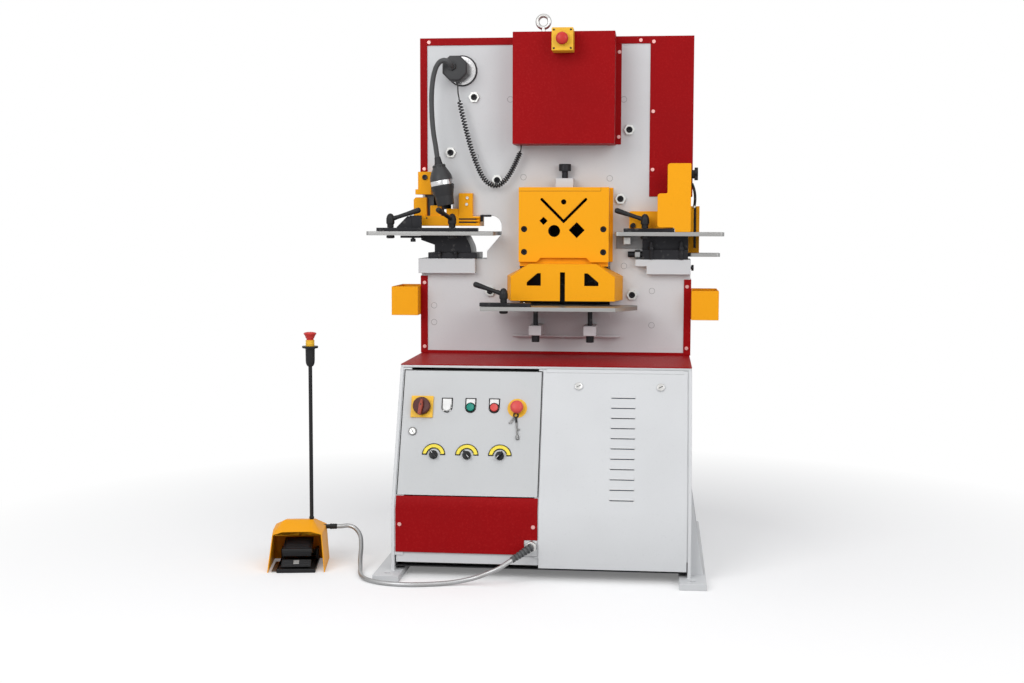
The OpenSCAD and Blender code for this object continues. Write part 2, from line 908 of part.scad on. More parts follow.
// Pale button-head screws on the red covers
trim_screw_shares = [0.036, 0.958];
lower_screw_shares = [0.1, 0.92];
side_screw_shares = [[0.09, 0.88], [0.1, 0.85]];
right_screw_shares = [0.16, 0.53, 0.97];
kick_screw_up = 85;
kick_screw_in = 13;
module cover_screws() {
    y = [y_front - sheet_t - screw_t, y_front - sheet_t];
    mid = trim_w / 2;
    right_x = fx - right_cover_w + mid;
    flange_x = tool_x + box_w / 2 + mid;
    color("whitesmoke") {
        for (s = trim_screw_shares)
            rod_y(-fx + s * (frame_w - right_cover_w), z_top - mid, screw_r, y);
        rod_y(-fx + mid, z_head + bracket_h + mid, screw_r, y);
        for (s = right_screw_shares)
            rod_y(right_x, z_head + s * (z_top - z_head), screw_r, y);
        for (k = [0, 1])
            for (s = side_screw_shares[k])
                rod_y((2 * k - 1) * (fx - mid), z_base + s * ledge_h, screw_r, y);
        for (s = lower_screw_shares)
            rod_y(flange_x, z_top - box_h + s * (box_h - trim_w), screw_r, y);
        for (x = [door_x[0] + kick_screw_in, door_x[1] - kick_screw_in])
            rod_y(x, kick_z + kick_screw_up, screw_r, [y_toe - screw_t, y_toe]);
    }
}

// Black socket screw along Y, head towards the front
module socket_screw(x, z, r, y) {
    difference() {
        rod_y(x, z, r, y);
        hex_y(x, z, r, [y[0] - cut, y[0] + r]);
    }
}

screw_hole_r = 7;
module socket_screws() {
    color(black) {
        for (s = gib_shares)
            socket_screw(gib_at(s)[0], gib_at(s)[1], gib_d / 2, [y_front - gib_out, y_in]);
        for (s = [-1, 1])
            for (t = [0, 1])
                socket_screw(tool_x + s * bolt_x, z_guard[0] + bolt_up + t * bolt_pitch,
                             bolt_d / 2 - gap, [y_front - guard_d + guard_t, y_front]);
        for (x = [-1, 1])
            for (z = [0, bracket_foot_h + block_h])
                translate([tool_x + x * bracket_pitch / 2, y_front - block_d + bracket_foot_d,
                           z_shear - block_drop - block_h - bracket_foot_h + z])
                    cylinder(d = z > 0 ? bracket_screw_d : bracket_foot_d,
                             h = z > 0 ? block_drop - table_t : bracket_foot_h);
    }
}

// Open bins on the lower edge covers
module side_bins() {
    y = at(y_front - bin_fore_share * bin_size[1], [0, bin_size[1]]);
    color(yellow) for (s = [0, 1]) mirror([s, 0, 0]) {
        x = at(fx + sheet_t, [0, bin_size[0]]);
        z = at(z_shear - bin_drops[s], [0, bin_size[2]]);
        difference() {
            span(x, y, z);
            span(x + sheet_t * [1, -1], y + sheet_t * [1, -1], [z[0] + sheet_t, z[1] + cut]);
        }
    }
}

// Grey blocks: bolsters, hold-down block, brackets, packing square
module support_blocks() {
    y = [y_front - plate_t, y_back + plate_t];
    hold = [tool_x - hold_w / 2, tool_x + hold_w / 2];
    color(grey) {
        difference() {
            span([-fx - screw_r, bolster_x], y, [z_ledge, z_bolster]);
            rod_z(punch_x, y_mid, slug_d / 2, [z_ledge - cut, z_bolster + cut]);
        }
        difference() {
            union() {
                span([slot_x, fx], y, [z_ledge, z_bolster]);
                span([notch_x, slot_x], [y[0], y_front], [z_ledge, z_bolster]);
                span([step_lip_x, notch_x], [y[0], y_front], [z_bolster - step_lip_h, z_bolster]);
            }
            translate([notch_hole_x - notch_hole[0] / 2, y_mid - notch_hole[1] / 2, z_ledge - cut])
                cube([notch_hole[0], notch_hole[1], bolster_h + 2 * cut]);
        }
        difference() {
            span(hold, [y_front - hold_d, y_front], [z_guard[1], z_guard[1] + hold_h]);
            rod_z(tool_x, y_front - hold_d / 2, hold_screw_r + run, at(z_guard[1], [-cut, hold_h + cut]));
        }
        for (s = [-1, 1])
            span(about(tool_x + s * bracket_pitch / 2, block_w),
                 [y_front - block_d, y_front],
                 at(z_shear - block_drop, [-block_h, 0]));
        span(at(pad_block_x, [0, pad_block]), [y_front - pad_block_d, y_front],
             at(z_work - pad_block_drop, [0, pad_block]));
    }
}

module punch_die_holder() {
    x = -fx + die_base_x[0];
    w = die_base_x[1] - die_base_x[0];
    z = [z_bolster + die_base_h, z_work - table_t];
    h = z[1] - z[0];
    color(black) difference() {
        union() {
            span([x, x + w], [y_front - die_base_y, y_back + die_base_y], [z_bolster, z[0]]);
            along_y([y_front - die_body_y, y_back + die_body_y])
                polygon([[x + lip, z[0]], [x + w - lip, z[0]], [x + w - lip, z[0] + neck_share * h],
                         [x + w - 2 * lip, z[1]], [-fx, z[1]],
                         [-fx, z[1] - neck_share * h],
                         [x + lip, z[1] - 2 * neck_share * h]]);
        }
        rod_z(punch_x, y_mid, slug_d / 2, [z_bolster - cut, z_work]);
        rod_z(punch_x, y_mid, die_d / 2, [z_work - die_h, z_work]);
    }
    color(steel) difference() {
        rod_z(punch_x, y_mid, die_d / 2, [z_work - die_h, z_work]);
        rod_z(punch_x, y_mid, punch_d / 2 + die_bore_gap, [z_work - die_h - cut, z_work + cut]);
    }
}

module notcher_die() {
    x = notch_die_x;
    z = z_bolster + notch_base_h;
    fence = y_front - ntable_front + fence_inset;
    seat_y = y_front - notch_base_y;
    color(black) {
        difference() {
            union() {
                span(x, [seat_y, y_back + notch_base_y], [z_bolster, z]);
                span(x, [y_front - notch_die_y, y_back + notch_die_y], [z, z_work - table_t]);
            }
            translate([notch_hole_x - notch_hole[0] / 2, y_mid - notch_hole[1] / 2, z_bolster - cut])
                cube([notch_hole[0], notch_hole[1], z_work - z_bolster]);
            span([x[0] - cut, slot_x], [y_front, y_back + notch_base_y + cut],
                 [z_bolster - cut, z_work]);
        }
        rod_x((seat_y + y_front) / 2, z_bolster + notch_base_h / 2, adjuster_r, [x[0] - adjuster_len, x[0]]);
        rod_x((seat_y + y_front) / 2, z_bolster + notch_base_h / 2, adjuster_head,
              [x[0] - adjuster_nut, x[0] - adjuster_nut / 2]);
        difference() {
            span(notch_fence_x, [fence, fence + fence_w], at(z_work, [0, fence_h]));
            rod_z(notch_lever_x, fence + fence_w / 2, stud_d / 2 + run, at(z_work, [-cut, fence_h + cut]));
        }
    }
}

// Tables of punch, notcher and flat shear
module work_tables() {
    top = [z_work - table_t, z_work];
    low = [z_bolster + notch_base_h - 2 * tongue_t, z_bolster + notch_base_h - tongue_t];
    punch_front = y_front - table_front;
    notch_front = y_front - ntable_front;
    shear_y = [y_front - bench_front, y_front - bench_back];
    slot_r = stud_d / 2 + slot_gap;
    notch_stud = notch_front + fence_inset + fence_w / 2;
    shear_stud = shear_fence_y + fence_w / 2;
    color(steel) {
        difference() {
            along_z(top) translate([-fx - table_left, punch_front])
                rounded([table_left + throat_d - table_gap, y_back + table_back - punch_front], table_corner);
            rod_z(punch_x, y_mid, die_d / 2 + gap, [top[0] - cut, top[1] + cut]);
            for (x = [left_lever_x, right_lever_x])
                along_z([top[0] - cut, top[1] + cut]) translate([x - slot_r, stud_y - slot_r])
                    rounded([2 * slot_r, fence_travel + 2 * slot_r], slot_r - gap);
        }
        difference() {
            along_z(top) translate([ntable_x[0], notch_front])
                rounded([ntable_x[1] - ntable_x[0], ntable_back - notch_front], table_corner);
            span([ntable_x[0] - cut, slot_x], [y_front - gap, y_back + cut], [top[0] - cut, top[1] + cut]);
            translate([notch_hole_x - notch_hole[0] / 2, y_mid - notch_hole[1] / 2, top[0] - cut])
                cube([notch_hole[0], notch_hole[1], table_t + 2 * cut]);
            rod_z(notch_lever_x, notch_stud, slot_r, [top[0] - cut, top[1] + cut]);
        }
        along_z(low) translate([notch_die_x[1], tongue_y[0]])
            rounded([tongue_x - notch_die_x[1], tongue_y[1] - tongue_y[0]], table_corner);
        difference() {
            along_z([z_shear - table_t, z_shear]) union() {
                polygon([[bench_x[0], shear_y[0]], [bench_x[1] - bench_cut[0], shear_y[0]],
                         [bench_x[1], shear_y[0] + bench_cut[1]], [bench_x[1], shear_y[1]],
                         [bench_x[0], shear_y[1]]]);
                translate([tool_x - shear_tongue_w / 2, shear_y[0]])
                    square([shear_tongue_w, y_front - shear_y[0]]);
            }
            along_z([z_shear - table_t - cut, z_shear + cut])
                translate([shear_lever_x - slot_r, shear_stud - slot_r])
                    rounded([2 * slot_r, shear_travel + 2 * slot_r], slot_r - gap);
        }
    }
}

// Yellow stripper: bracket, fork plate, rail and mounting block
module stripper() {
    low = z_work + strip_up;
    front = y_front - strip_front;
    block_y = [y_front - bracket_d, y_front];
    color(yellow) {
        difference() {
            union() {
                span(at(-fx, bracket_x), block_y, at(z_head, [0, bracket_h]));
                span([-fx - flange_out, -fx + bracket_x[1]], block_y, at(z_head, [0, flange_h]));
            }
            rod_y(-fx + (bracket_x[0] + bracket_x[1]) / 2, z_head + bracket_h - lip, screw_hole_r,
                  [block_y[0] - cut, block_y[0] + lip]);
        }
        difference() {
            union() {
                span([-fx + strip_x[0], -fx + strip_end_x], [front, y_back - lip],
                     at(low, [0, strip_plate_t]));
                span([-fx + strip_x[0], -fx + strip_end_x], [front, front + strip_rail_d],
                     at(low, [0, strip_rail_h]));
                span(at(-fx, strip_left_x), [front, front + strip_rail_d],
                     at(low + strip_left_up, [0, strip_left_rise]));
                span(at(-fx, strip_stub_x), [front, front + strip_rail_d], at(low, [0, strip_stub_h]));
                span(at(-fx, strip_block_x), [front, y_front], at(low, [0, strip_block_h]));
            }
            along_z(at(low, [-cut, strip_rail_h])) {
                translate([punch_x, y_mid]) circle(d = fork_w);
                translate([punch_x - fork_w / 2, y_mid]) square([fork_w, y_back - y_mid]);
            }
            for (s = groove_shares)
                span(at(-fx, [strip_block_x[0], strip_end_x + cut]), at(front, [-cut, groove_deep]),
                     at(low + s * strip_rail_h, [0, groove_h]));
        }
    }
}

// Notcher guards: stepped front plate, wing and rear guard
module notcher_guard() {
    y = y_front - nguard_front;
    z = at(z_work, [nguard_low, nguard_mid, nguard_top]);
    right = nguard_x[2];
    color(yellow) {
        difference() {
            union() {
                along_y([y, y + nguard_t])
                    polygon([[nguard_x[0], z[0]], [right - ntail_w, z[0]],
                             [right - ntail_w, z_work + gap], [right, z_work + gap], [right, z[2]],
                             [nguard_x[1], z[2]], [nguard_x[1], z[1]], [nguard_x[0], z[1]]]);
                span([right - nguard_t, right], [y, y_front - sheet_t], [z_work + gap, z[2]]);
            }
            rod_x(knob_y, z_work + knob_z, knob_stem_r + run, [right - nguard_t - cut, right + cut]);
        }
        difference() {
            span(wing_x, [y_front - wing_d, y_front - gap], at(z_work + wing_up, [0, wing_h]));
            span([slot_x, wing_x[1] + cut], [y_front - wing_d / 2, y_front], at(z_work, [0, head_h]));
            rod_y(wing_x[0] + lip / 2, z_work + wing_up + lip / 2, screw_hole_r,
                  [y_front - wing_d - cut, y_front - wing_d + lip]);
        }
        difference() {
            span(tail_x, tail_y, tail_z);
            span([tail_x[0] + lip, tail_x[0] + lip + tail_slot], tail_y + cut * [-1, 1],
                 [tail_z[0] + lip, tail_z[1] + cut]);
        }
    }
}

module guard_knob() {
    x = nguard_x[2];
    z = z_work + knob_z;
    color(black) {
        rod_x(knob_y, z, knob_stem_r, [x - 2 * nguard_t, x + knob_len]);
        rod_x(knob_y, z, knob_r - knob_stem_r, [x + gap, x + knob_len]);
        for (a = [0:knob_lobes - 1])
            translate([0, knob_y, z]) rotate([360 * a / knob_lobes, 0, 0])
                rod_x(0, knob_r - knob_stem_r, knob_stem_r, [x + knob_len / 2, x + knob_len]);
    }
}

// Outlines of the bar openings, grown by g
module bar_openings(g) {
    translate([tool_x, z_vee]) {
        for (s = [-1, 1])
            rotate(s * 45) {
                translate([-angle_slot_w / 2 - g, -angle_slot_w / 2 - g])
                    square([angle_slot_w + 2 * g, angle_arm + angle_slot_w / 2 + g]);
                translate([0, angle_arm]) circle(d = angle_slot_w + 2 * g);
            }
        translate(round_at) circle(d = round_d + 2 * g);
        translate(square_at) rotate(45) square(square_w + 2 * g, center = true);
        translate(small_sq_at) rotate(45) square(small_sq_w + 2 * g, center = true);
    }
}

module shear_guard() {
    y = [y_front - guard_d, y_front];
    z = z_guard;
    recess = recess_w / 2;
    color(yellow) difference() {
        union() {
            difference() {
                span(guard_x, y, z);
                span(guard_x + guard_t * [1, -1], [y[0] + guard_t, y[1] + cut], [z[0] - cut, z[1] - guard_t]);
            }
            span([guard_x[1] - guard_t, guard_x[1] + guard_flange], [y_front - guard_t, y_front], z);
        }
        along_y([y[0] - cut, y[0] + guard_t + cut]) {
            bar_openings(0);
            translate([tool_x, z_vee + small_up]) circle(d = small_round_d);
            polygon([[tool_x - recess - recess_slant, z[0] - cut], [tool_x - recess, z[0] + recess_h],
                     [tool_x + recess, z[0] + recess_h],
                     [tool_x + recess + recess_slant, z[0] - cut]]);
            for (s = [-1, 1])
                for (t = [0, 1])
                    translate([tool_x + s * bolt_x, z[0] + bolt_up + t * bolt_pitch])
                        circle(d = bolt_d);
        }
        rod_z(tool_x, y_front - hold_d / 2, hold_screw_r + gap, at(z[1], [-guard_t - cut, cut]));
    }
}

// Outline of the flat shear guard
module flat_outline(w, inset) {
    z = z_shear + flat_gap;
    half = w / 2 - inset;
    low = inset > 0 ? z - cut : z;
    polygon([[-half, low], [half, low], [half, z + flat_shoulder_h - inset / 2],
             [flat_top_w / 2 - inset / 2, z + flat_h - inset], [-flat_top_w / 2 + inset / 2, z + flat_h - inset],
             [-half, z + flat_shoulder_h - inset / 2]]);
}

module flat_shear_guard() {
    y = [y_front - flat_d, y_front];
    z = z_shear + flat_gap;
    thin = gap;
    color(yellow) translate([tool_x, 0, 0]) difference() {
        hull() {
            along_y([y[0], y[0] + thin]) flat_outline(flat_w, 0);
            along_y([y[1] - thin, y[1]]) flat_outline(flat_back_w, 0);
        }
        hull() {
            along_y(at(y[0] + flat_wall, [0, thin])) flat_outline(flat_w, flat_wall);
            along_y([y[1], y[1] + cut]) flat_outline(flat_back_w, flat_wall);
        }
        along_y([y[0] - cut, y[0] + flat_wall + cut]) {
            translate([-centre_slot_w / 2, z - cut]) square([centre_slot_w, centre_slot_h]);
            for (s = [0, 1])
                mirror([s, 0])
                    polygon([[window_x, z + window_up], [window_x + window_w, z + window_up],
                             [window_x + window_w, z + window_up + window_low / 2],
                             [window_x + window_low / 2, z + window_up + window_h],
                             [window_x, z + window_up + window_h]]);
        }
    }
}

module fixed_blades() {
    x = [shear_win[0], shear_win[1]];
    y = [y_front, y_in];
    color(black) {
        difference() {
            span(x, y, [z_guard[0] + recess_h, z_win[1]]);
            along_y([y[0] - cut, y[1] + cut]) bar_openings(gap);
        }
        span(x, y, [z_win[0], z_shear]);
    }
}

// Cylinder barrel with square end blocks
head_block = 35;
barrel_wall = 20;
end_block_d = 200;
module hydraulic_cylinder() {
    x = about(tool_x, cyl_win_w);
    y = about(y_mid, end_block_d);
    color(black) difference() {
        union() {
            span(x, y, [z_cyl, z_cyl + head_block]);
            span(x, y, [z_cyl_top - head_block, z_cyl_top]);
            rod_z(tool_x, y_mid, cyl_bore / 2 + barrel_wall, [z_cyl, z_cyl_top]);
        }
        rod_z(tool_x, y_mid, cyl_bore / 2, [z_cyl + head_block, z_cyl_top - head_block]);
        rod_z(tool_x, y_mid, rod_d / 2 + run, [z_cyl - cut, z_cyl + head_block + cut]);
    }
}

piston_h = 50;
piston_top = 10;
module piston_rod() {
    top = z_cyl_top - head_block - piston_top;
    color(steel) {
        rod_z(tool_x, y_mid, rod_d / 2, [z_ram_top, top]);
        rod_z(tool_x, y_mid, cyl_bore / 2 - run, [top - piston_h, top]);
    }
}

// Ram plate with its arms
module ram_outline() {
    right = notch_x - ram_edge;
    left = throat_x + ram_throat;
    inner_left = tool_x - ram_neck_w;
    inner_right = tool_x + ram_neck_w;
    foot = left - ram_foot;
    far_left = inner_left - ram_left_tower;
    z_right = z_head + gap;
    polygon([[foot, z_ram_low], [right, z_ram_low], [right, z_right], [fx - ram_notch_end, z_right],
             [fx - ram_notch_end, z_right + ram_right_h], [right, z_right + ram_right_h],
             [right, z_head + ram_right_top], [inner_right, z_head + ram_right_top],
             [inner_right, z_ram_top], [inner_left, z_ram_top], [inner_left, z_head + ram_left_top],
             [far_left, z_head + ram_left_top], [far_left, z_head + ram_step_top],
             [far_left - ram_step, z_head + ram_step_top], [far_left - ram_step, z_arm + ram_arm_h],
             [-fx - ram_end, z_arm + ram_arm_h], [-fx - ram_end, z_arm], [left, z_arm],
             [left, z_ram_low + ram_foot_h], [foot, z_ram_low + ram_foot_h]]);
}

blade_w = 250;
blade_low = 60;
module blade_outline() {
    translate([tool_x - blade_w / 2, z_vee - blade_low])
        square([blade_w, z_win[1] - z_vee + blade_low - stroke / 4]);
    translate([shear_win[0] + lip / 2, z_ram_low]) square([shear_win_w - lip, flat_blade_rise]);
}

module ram_plate() {
    color(steel) difference() {
        along_y(ram_y) ram_outline();
        along_y([ram_y[0] - cut, ram_y[0] + blade_deep]) blade_outline();
        along_y([ram_y[0], ram_y[1] + cut]) bar_openings(cut);
    }
}

module ram_blades() {
    nx = about(notch_hole_x, notch_hole[0] - 2 * notch_punch_gap);
    ny = about(y_mid, notch_hole[1] - 2 * notch_punch_gap);
    color(black) {
        difference() {
            along_y([y_in + gap, ram_y[0] + blade_deep]) blade_outline();
            along_y([y_in, ram_y[1]]) bar_openings(gap);
        }
        span(nx, ny, [z_work + notch_punch_up, z_head - gap]);
        span(nx + gap * [1, -1], ram_y, [z_work + 2 * notch_punch_up, z_head + gap]);
    }
}

module punch_holder() {
    low = z_work + punch_up;
    color(black) rod_z(punch_x, y_mid, holder_d / 2, [z_arm - holder_h, z_arm]);
    color(steel) rod_z(punch_x, y_mid, punch_d / 2, [low, z_arm - holder_h]);
}

// Oil tank, pump and upright motor
module power_pack() {
    x = tank_at[0] + tank_size[0] / 2;
    y = tank_at[1] + tank_size[1] / 2;
    lid = tank_at[2] + tank_size[2];
    pan = cover_z + sheet_t;
    color("steelblue") difference() {
        union() {
            translate([tank_at[0], tank_at[1], pan]) cube([tank_size[0], tank_size[1], lid - pan]);
            rod_z(x, y, motor_r, [lid, lid + motor_h]);
        }
        translate([tank_at[0] + tank_wall, tank_at[1] + tank_wall, pan + tank_wall])
            cube([tank_size[0] - 2 * tank_wall, tank_size[1] - 2 * tank_wall, lid - pan - 2 * tank_wall]);
        rod_z(x, y, motor_r - motor_wall, at(lid, [motor_lid, motor_h - motor_lid]));
        rod_z(x, y, shaft_d / 2 + run, at(lid, [-tank_wall - cut, motor_lid + cut]));
        rod_z(x, y, shaft_d / 2 + run, at(lid + motor_h, [-motor_lid - cut, cut]));
    }
    color(black) difference() {
        rod_z(x, y, pump_r, at(lid - tank_wall, [-pump_h, 0]));
        rod_z(x, y, shaft_d / 2 + run, at(lid - tank_wall, [-pump_h / 2, cut]));
    }
}

module motor_shaft() {
    x = tank_at[0] + tank_size[0] / 2;
    y = tank_at[1] + tank_size[1] / 2;
    lid = tank_at[2] + tank_size[2];
    rotor = lid + motor_h / 2 - rotor_h / 2;
    color(steel) {
        rod_z(x, y, shaft_d / 2, [lid - pump_h / 2, lid + motor_h]);
        rod_z(x, y, rotor_r, [rotor, rotor + rotor_h]);
    }
}

module top_estop_box() {
    x = about(tool_x, estop_box[0]);
    y = [y_front - box_d - estop_box[1], y_front - box_d];
    top = trim_top + sheet_t + estop_box_over;
    z = [top - estop_box[2], top];
    color(yellow) difference() {
        span(x, y, z);
        rod_y(tool_x, top - estop_box[2] / 2, stem_r + gap, [y[0] - cut, y[0] + 3 * stop_travel + stop_ring_h]);
    }
}

// Mushroom with its stem, drawn along +Z
module mushroom(up) {
    translate([0, 0, -stop_travel - up]) cylinder(r = stem_r, h = stop_travel + 2 * up);
    translate([0, 0, up]) rotate_extrude() {
        square([mushroom_d / 2, stop_cap_h / 2]);
        translate([0, stop_cap_h / 2]) square([mushroom_d / 2 - lip / 8, stop_cap_h / 4]);
        square([mushroom_d / 2 - lip / 3, stop_cap_h]);
    }
}

module top_estop_button() {
    top = trim_top + sheet_t + estop_box_over;
    color("red") translate([tool_x, y_front - box_d - estop_box[1], top - estop_box[2] / 2])
        rotate([90, 0, 0]) mushroom(panel_cap_up);
}

// Lamp foot with housing and gooseneck
module lamp_base() {
    disc = [y_front - lamp_disc_t, y_front];
    color(black) {
        rod_y(lamp_at[0], lamp_at[1], lamp_disc_r, disc);
        translate([lamp_box_at[0], disc[0], lamp_box_at[1]]) rotate([90, 22.5, 0])
            cylinder(r = lamp_box_r / cos(22.5), h = lamp_box_d, $fn = 8);
        tube(smooth(neck_route, cable_steps), neck_d / 2, 12, [1, 0, 0]);
    }
}

module lamp_head() {
    len = norm(head_to - head_from);
    r = lamp_d / 2;
    color(black) aimed(head_from, head_to) rotate_extrude()
        polygon([[0, 0], [collar_r, 0], [collar_r, lip / 2], [r - lamp_wall / 2, len * cone_share],
                 [r, len * cone_share], [r, len * band_share], [r - lamp_wall / 2, len * band_share],
                 [r - lamp_wall / 2, len], [r - 2 * lamp_wall, len], [r - 2 * lamp_wall, len * band_share],
                 [0, len * band_share]]);
}

// Helix about a hanging line, with straight ends
function lengths(p) =
    [for (i = 0, s = 0; i < len(p); i = i + 1, s = s + (i < len(p) ? norm(p[i] - p[i - 1]) : 0)) s];
cord_line = smooth(cord_route, 6);
cord_s = lengths(cord_line);
cord_len = cord_s[len(cord_s) - 1];
function on_line(s) =
    [for (k = [0:2]) lookup(s, [for (i = [0:len(cord_line) - 1]) [cord_s[i], cord_line[i][k]]])];
function curl_point(u) =
    let(s = cord_len * ((1 + spread_share) * u - spread_share * u * u),
        t = unit(on_line(min(s + curl_r, cord_len)) - on_line(max(s - curl_r, 0))),
        n = cross([0, 1, 0], t),
        grow = min(1, u * curls, (1 - u) * curls),
        a = 360 * curls * u)
    on_line(s) + curl_r * grow * (cos(a) * n + sin(a) * [0, 1, 0]);
curl_points = [for (j = [1:curls * curl_rings - 1]) curl_point(j / (curls * curl_rings))];
cord_points = concat(cord_lead, curl_points, cord_tail);
cord_gap = min([for (i = [0:len(curl_points) - 2 * curl_rings])
                for (j = [5:curl_rings + 3]) norm(curl_points[i + j] - curl_points[i])]) - cord_d;
echo(lamp_cord_least_gap = cord_gap, lamp_cord_centre_line = cord_len);

module lamp_cord() {
    color(black) tube(cord_points, cord_d / 2, curl_sides, [0, 1, 0]);
}

// Local frame of the foot pedal
module at_pedal() {
    translate([pedal_at[0], pedal_at[1], 0]) rotate([0, 0, pedal_yaw]) children();
}

// Solid through sections of equal count
module loft(rows) {
    n = len(rows[0]);
    end = n * (len(rows) - 1);
    walls = [for (i = [0:n:end - n]) for (k = [0:n - 1])
             let(a = i + k, b = i + (k + 1) % n)
             each 2 * k < n ? [[a, a + n, b], [b, a + n, b + n]] : [[a, a + n, b + n], [a, b + n, b]]];
    polyhedron([for (r = rows) each r],
               concat(walls, [[for (k = [0:n - 1]) k], [for (k = [n - 1:-1:0]) end + k]]));
}

// Hood inset by w, past its open front and foot: mouth, crest, rear
function hood_row(w, open, y, lean, ridge, side) =
    [for (p = [[w / 2 - ridge[0], ridge[1] - w], [ridge[0] - w / 2, ridge[1] - w], [side[0] - w, side[1] - w / 2],
               [hood_w / 2 - w, -open], [w - hood_w / 2, -open], [w - side[0], side[1] - w / 2]])
     [p[0], y + lean * p[1], p[1]]];
module hood_shape(w) {
    open = w > 0 ? 3 * cut : 0;
    side = [hood_w / 2 - hood_taper, hood_side_h];
    loft([hood_row(w, open, -hood_d / 2 - open, hood_lean / hood_mouth[0][1], hood_mouth[0], hood_mouth[1]),
          hood_row(w, open, hood_crest, 0, hood_ridge, side), hood_row(w, open, hood_d / 2 - w, 0, hood_rear, side)]);
}

module pedal_hood() {
    color(yellow) at_pedal() difference() {
        hood_shape(0);
        hood_shape(hood_wall);
        rod_z(pole_at[0], pole_at[1], pole_r + gap, [hood_side_h, hood_h + cut]);
        rod_x(gland_y, gland_z, cable_d / 2 + gap, [0, hood_w]);
    }
}

module pedal_base() {
    rear = hood_d / 2 - hood_wall;
    hinge = treadle_w / 2 + gap;
    color(black) at_pedal() difference() {
        union() {
            span(pedal_base_w * [-0.5, 0.5], [-hood_d / 2 - hinge_r, rear], [0, pedal_base_t]);
            for (s = [0, 1])
                mirror([s, 0, 0])
                    span([hinge, hinge + cheek_t], [hinge_y - cheek_d / 2, hinge_y + cheek_d / 2],
                         [0, pedal_base_t + cheek_h]);
        }
        rod_x(hinge_y, hinge_z, hinge_r + run, (hinge + cheek_t + cut) * [-1, 1]);
    }
}

module treadle() {
    wide = (treadle_w / 2) * [-1, 1];
    color(black) at_pedal() {
        rod_x(hinge_y, hinge_z, hinge_r, (treadle_w / 2 + cheek_t) * [-1, 1]);
        rod_x(hinge_y, hinge_z, hinge_boss_r, wide);
        translate([0, hinge_y, hinge_z]) rotate([-treadle_tilt, 0, 0])
            span((treadle_w / 2 - treadle_sink) * [-1, 1], [-treadle_len, treadle_sink],
                 at(hinge_boss_r - treadle_sink, [-treadle_t, 0]));
    }
}

module estop_pole() {
    z = pole_h - pole_holder_h;
    roof = hood_h;
    color(black) at_pedal() translate([pole_at[0], pole_at[1], 0]) difference() {
        union() {
            rod_z(0, 0, pole_r, [hood_side_h, z + lip]);
            rod_z(0, 0, pole_foot_r, at(roof, [gap, pole_foot_h]));
            rod_z(0, 0, holder_r, [z, pole_h - holder_disc_t]);
            rod_z(0, 0, holder_disc_r, [pole_h - holder_disc_t, pole_h]);
            rod_z(0, 0, pole_ring_r, [pole_h - sink, pole_h + pole_cap_up - stop_travel - gap]);
        }
        rod_z(0, 0, stem_r + gap, [pole_h - stop_ring_h - pole_cap_up, pole_h + pole_cap_up]);
    }
}

module pole_estop_button() {
    color("red") at_pedal() translate([pole_at[0], pole_at[1], pole_h]) mushroom(pole_cap_up);
}

function from_pedal(x, y, z) =
    [pedal_at[0] + x * cos(pedal_yaw) - y * sin(pedal_yaw),
     pedal_at[1] + x * sin(pedal_yaw) + y * cos(pedal_yaw), z];
gland_x = hood_w / 2 - hood_taper - hood_wall - gland_in;
gland_end = gland_x + gland_len;
relief_out = unit(relief_to - relief_from);
cable_points = smooth(concat([for (d = [2 * gap, cable_d]) from_pedal(gland_end + d, gland_y, gland_z)], cable_route,
                             [for (d = [cable_d, 2 * gap]) relief_to + d * relief_out]), cable_steps);
module pedal_cable() {
    color("darkgray") tube(cable_points, cable_d / 2, cable_sides, [0, 0, 1]);
}

// Gland on the hood, strain relief on the base
module cable_glands() {
    len = norm(relief_to - relief_from);
    pitch = len / relief_ribs;
    tip = relief_r[1];
    step = (relief_r[0] - tip) / relief_ribs;
    color(black) at_pedal() {
        rod_x(gland_y, gland_z, cable_d / 2, [gland_x, gland_end]);
        rod_x(gland_y, gland_z, gland_r, [gland_x + gland_len / 2, gland_end]);
    }
    color("gray") {
        hex_y(relief_from[0], relief_from[2], gland_nut_af, [relief_from[1], y_toe + sheet_t]);
        aimed(relief_from, relief_to) {
            cylinder(r = tip, h = len);
            for (i = [0:relief_ribs - 2])
                translate([0, 0, i * pitch])
                    cylinder(r = relief_r[0] - i * step, h = pitch * rib_share);
        }
    }
}

// Outline raised by t on the sloped front
module raised(t) {
    translate([0, 0, -sink]) linear_extrude(t + sink) children();
}

// Holes for the control shafts, cut through the door
module control_holes() {
    for (x = [start_x, stop_x])
        on_slope(x, row_z) cylinder(r = button_r + gap, h = 4 * shaft_in, center = true);
    on_slope(estop_x, row_z) cylinder(r = stem_r + gap, h = 4 * shaft_in, center = true);
    on_slope(switch_x, row_z) cylinder(r = shaft_r + run, h = 4 * shaft_in, center = true);
    for (x = selector_x)
        on_slope(x, selector_z) cylinder(r = shaft_r + run, h = 4 * shaft_in, center = true);
    on_slope(lock_at[0], lock_at[1]) cylinder(r = shaft_r + run, h = 4 * shaft_in, center = true);
}

// Door with switch plate, legends and dials
module control_door() {
    color(grey) difference() {
        union() {
            front_sheet(door_x, [door_z, door_top], 0, sheet_t);
            on_slope(switch_x, row_z) translate([-switch_plate / 2, -switch_plate / 2, -sink])
                cube([switch_plate, switch_plate, switch_plate_t + sink]);
            for (x = [pilot_x, start_x, stop_x])
                on_slope(x, row_z) raised(bezel_t) {
                    circle(d = bezel_w);
                    translate([-bezel_w / 2, 0]) square([bezel_w, bezel_up]);
                }
            on_slope(pilot_x, row_z) raised(button_h) circle(button_r);
            on_slope(estop_x, row_z) raised(legend_t) circle(legend_r);
            for (x = selector_x)
                on_slope(x, selector_z) raised(legend_t) difference() {
                    circle(dial_r);
                    circle(dial_in_r);
                    translate([-dial_r, -dial_r]) square([2 * dial_r, dial_r]);
                }
        }
        control_holes();
    }
}

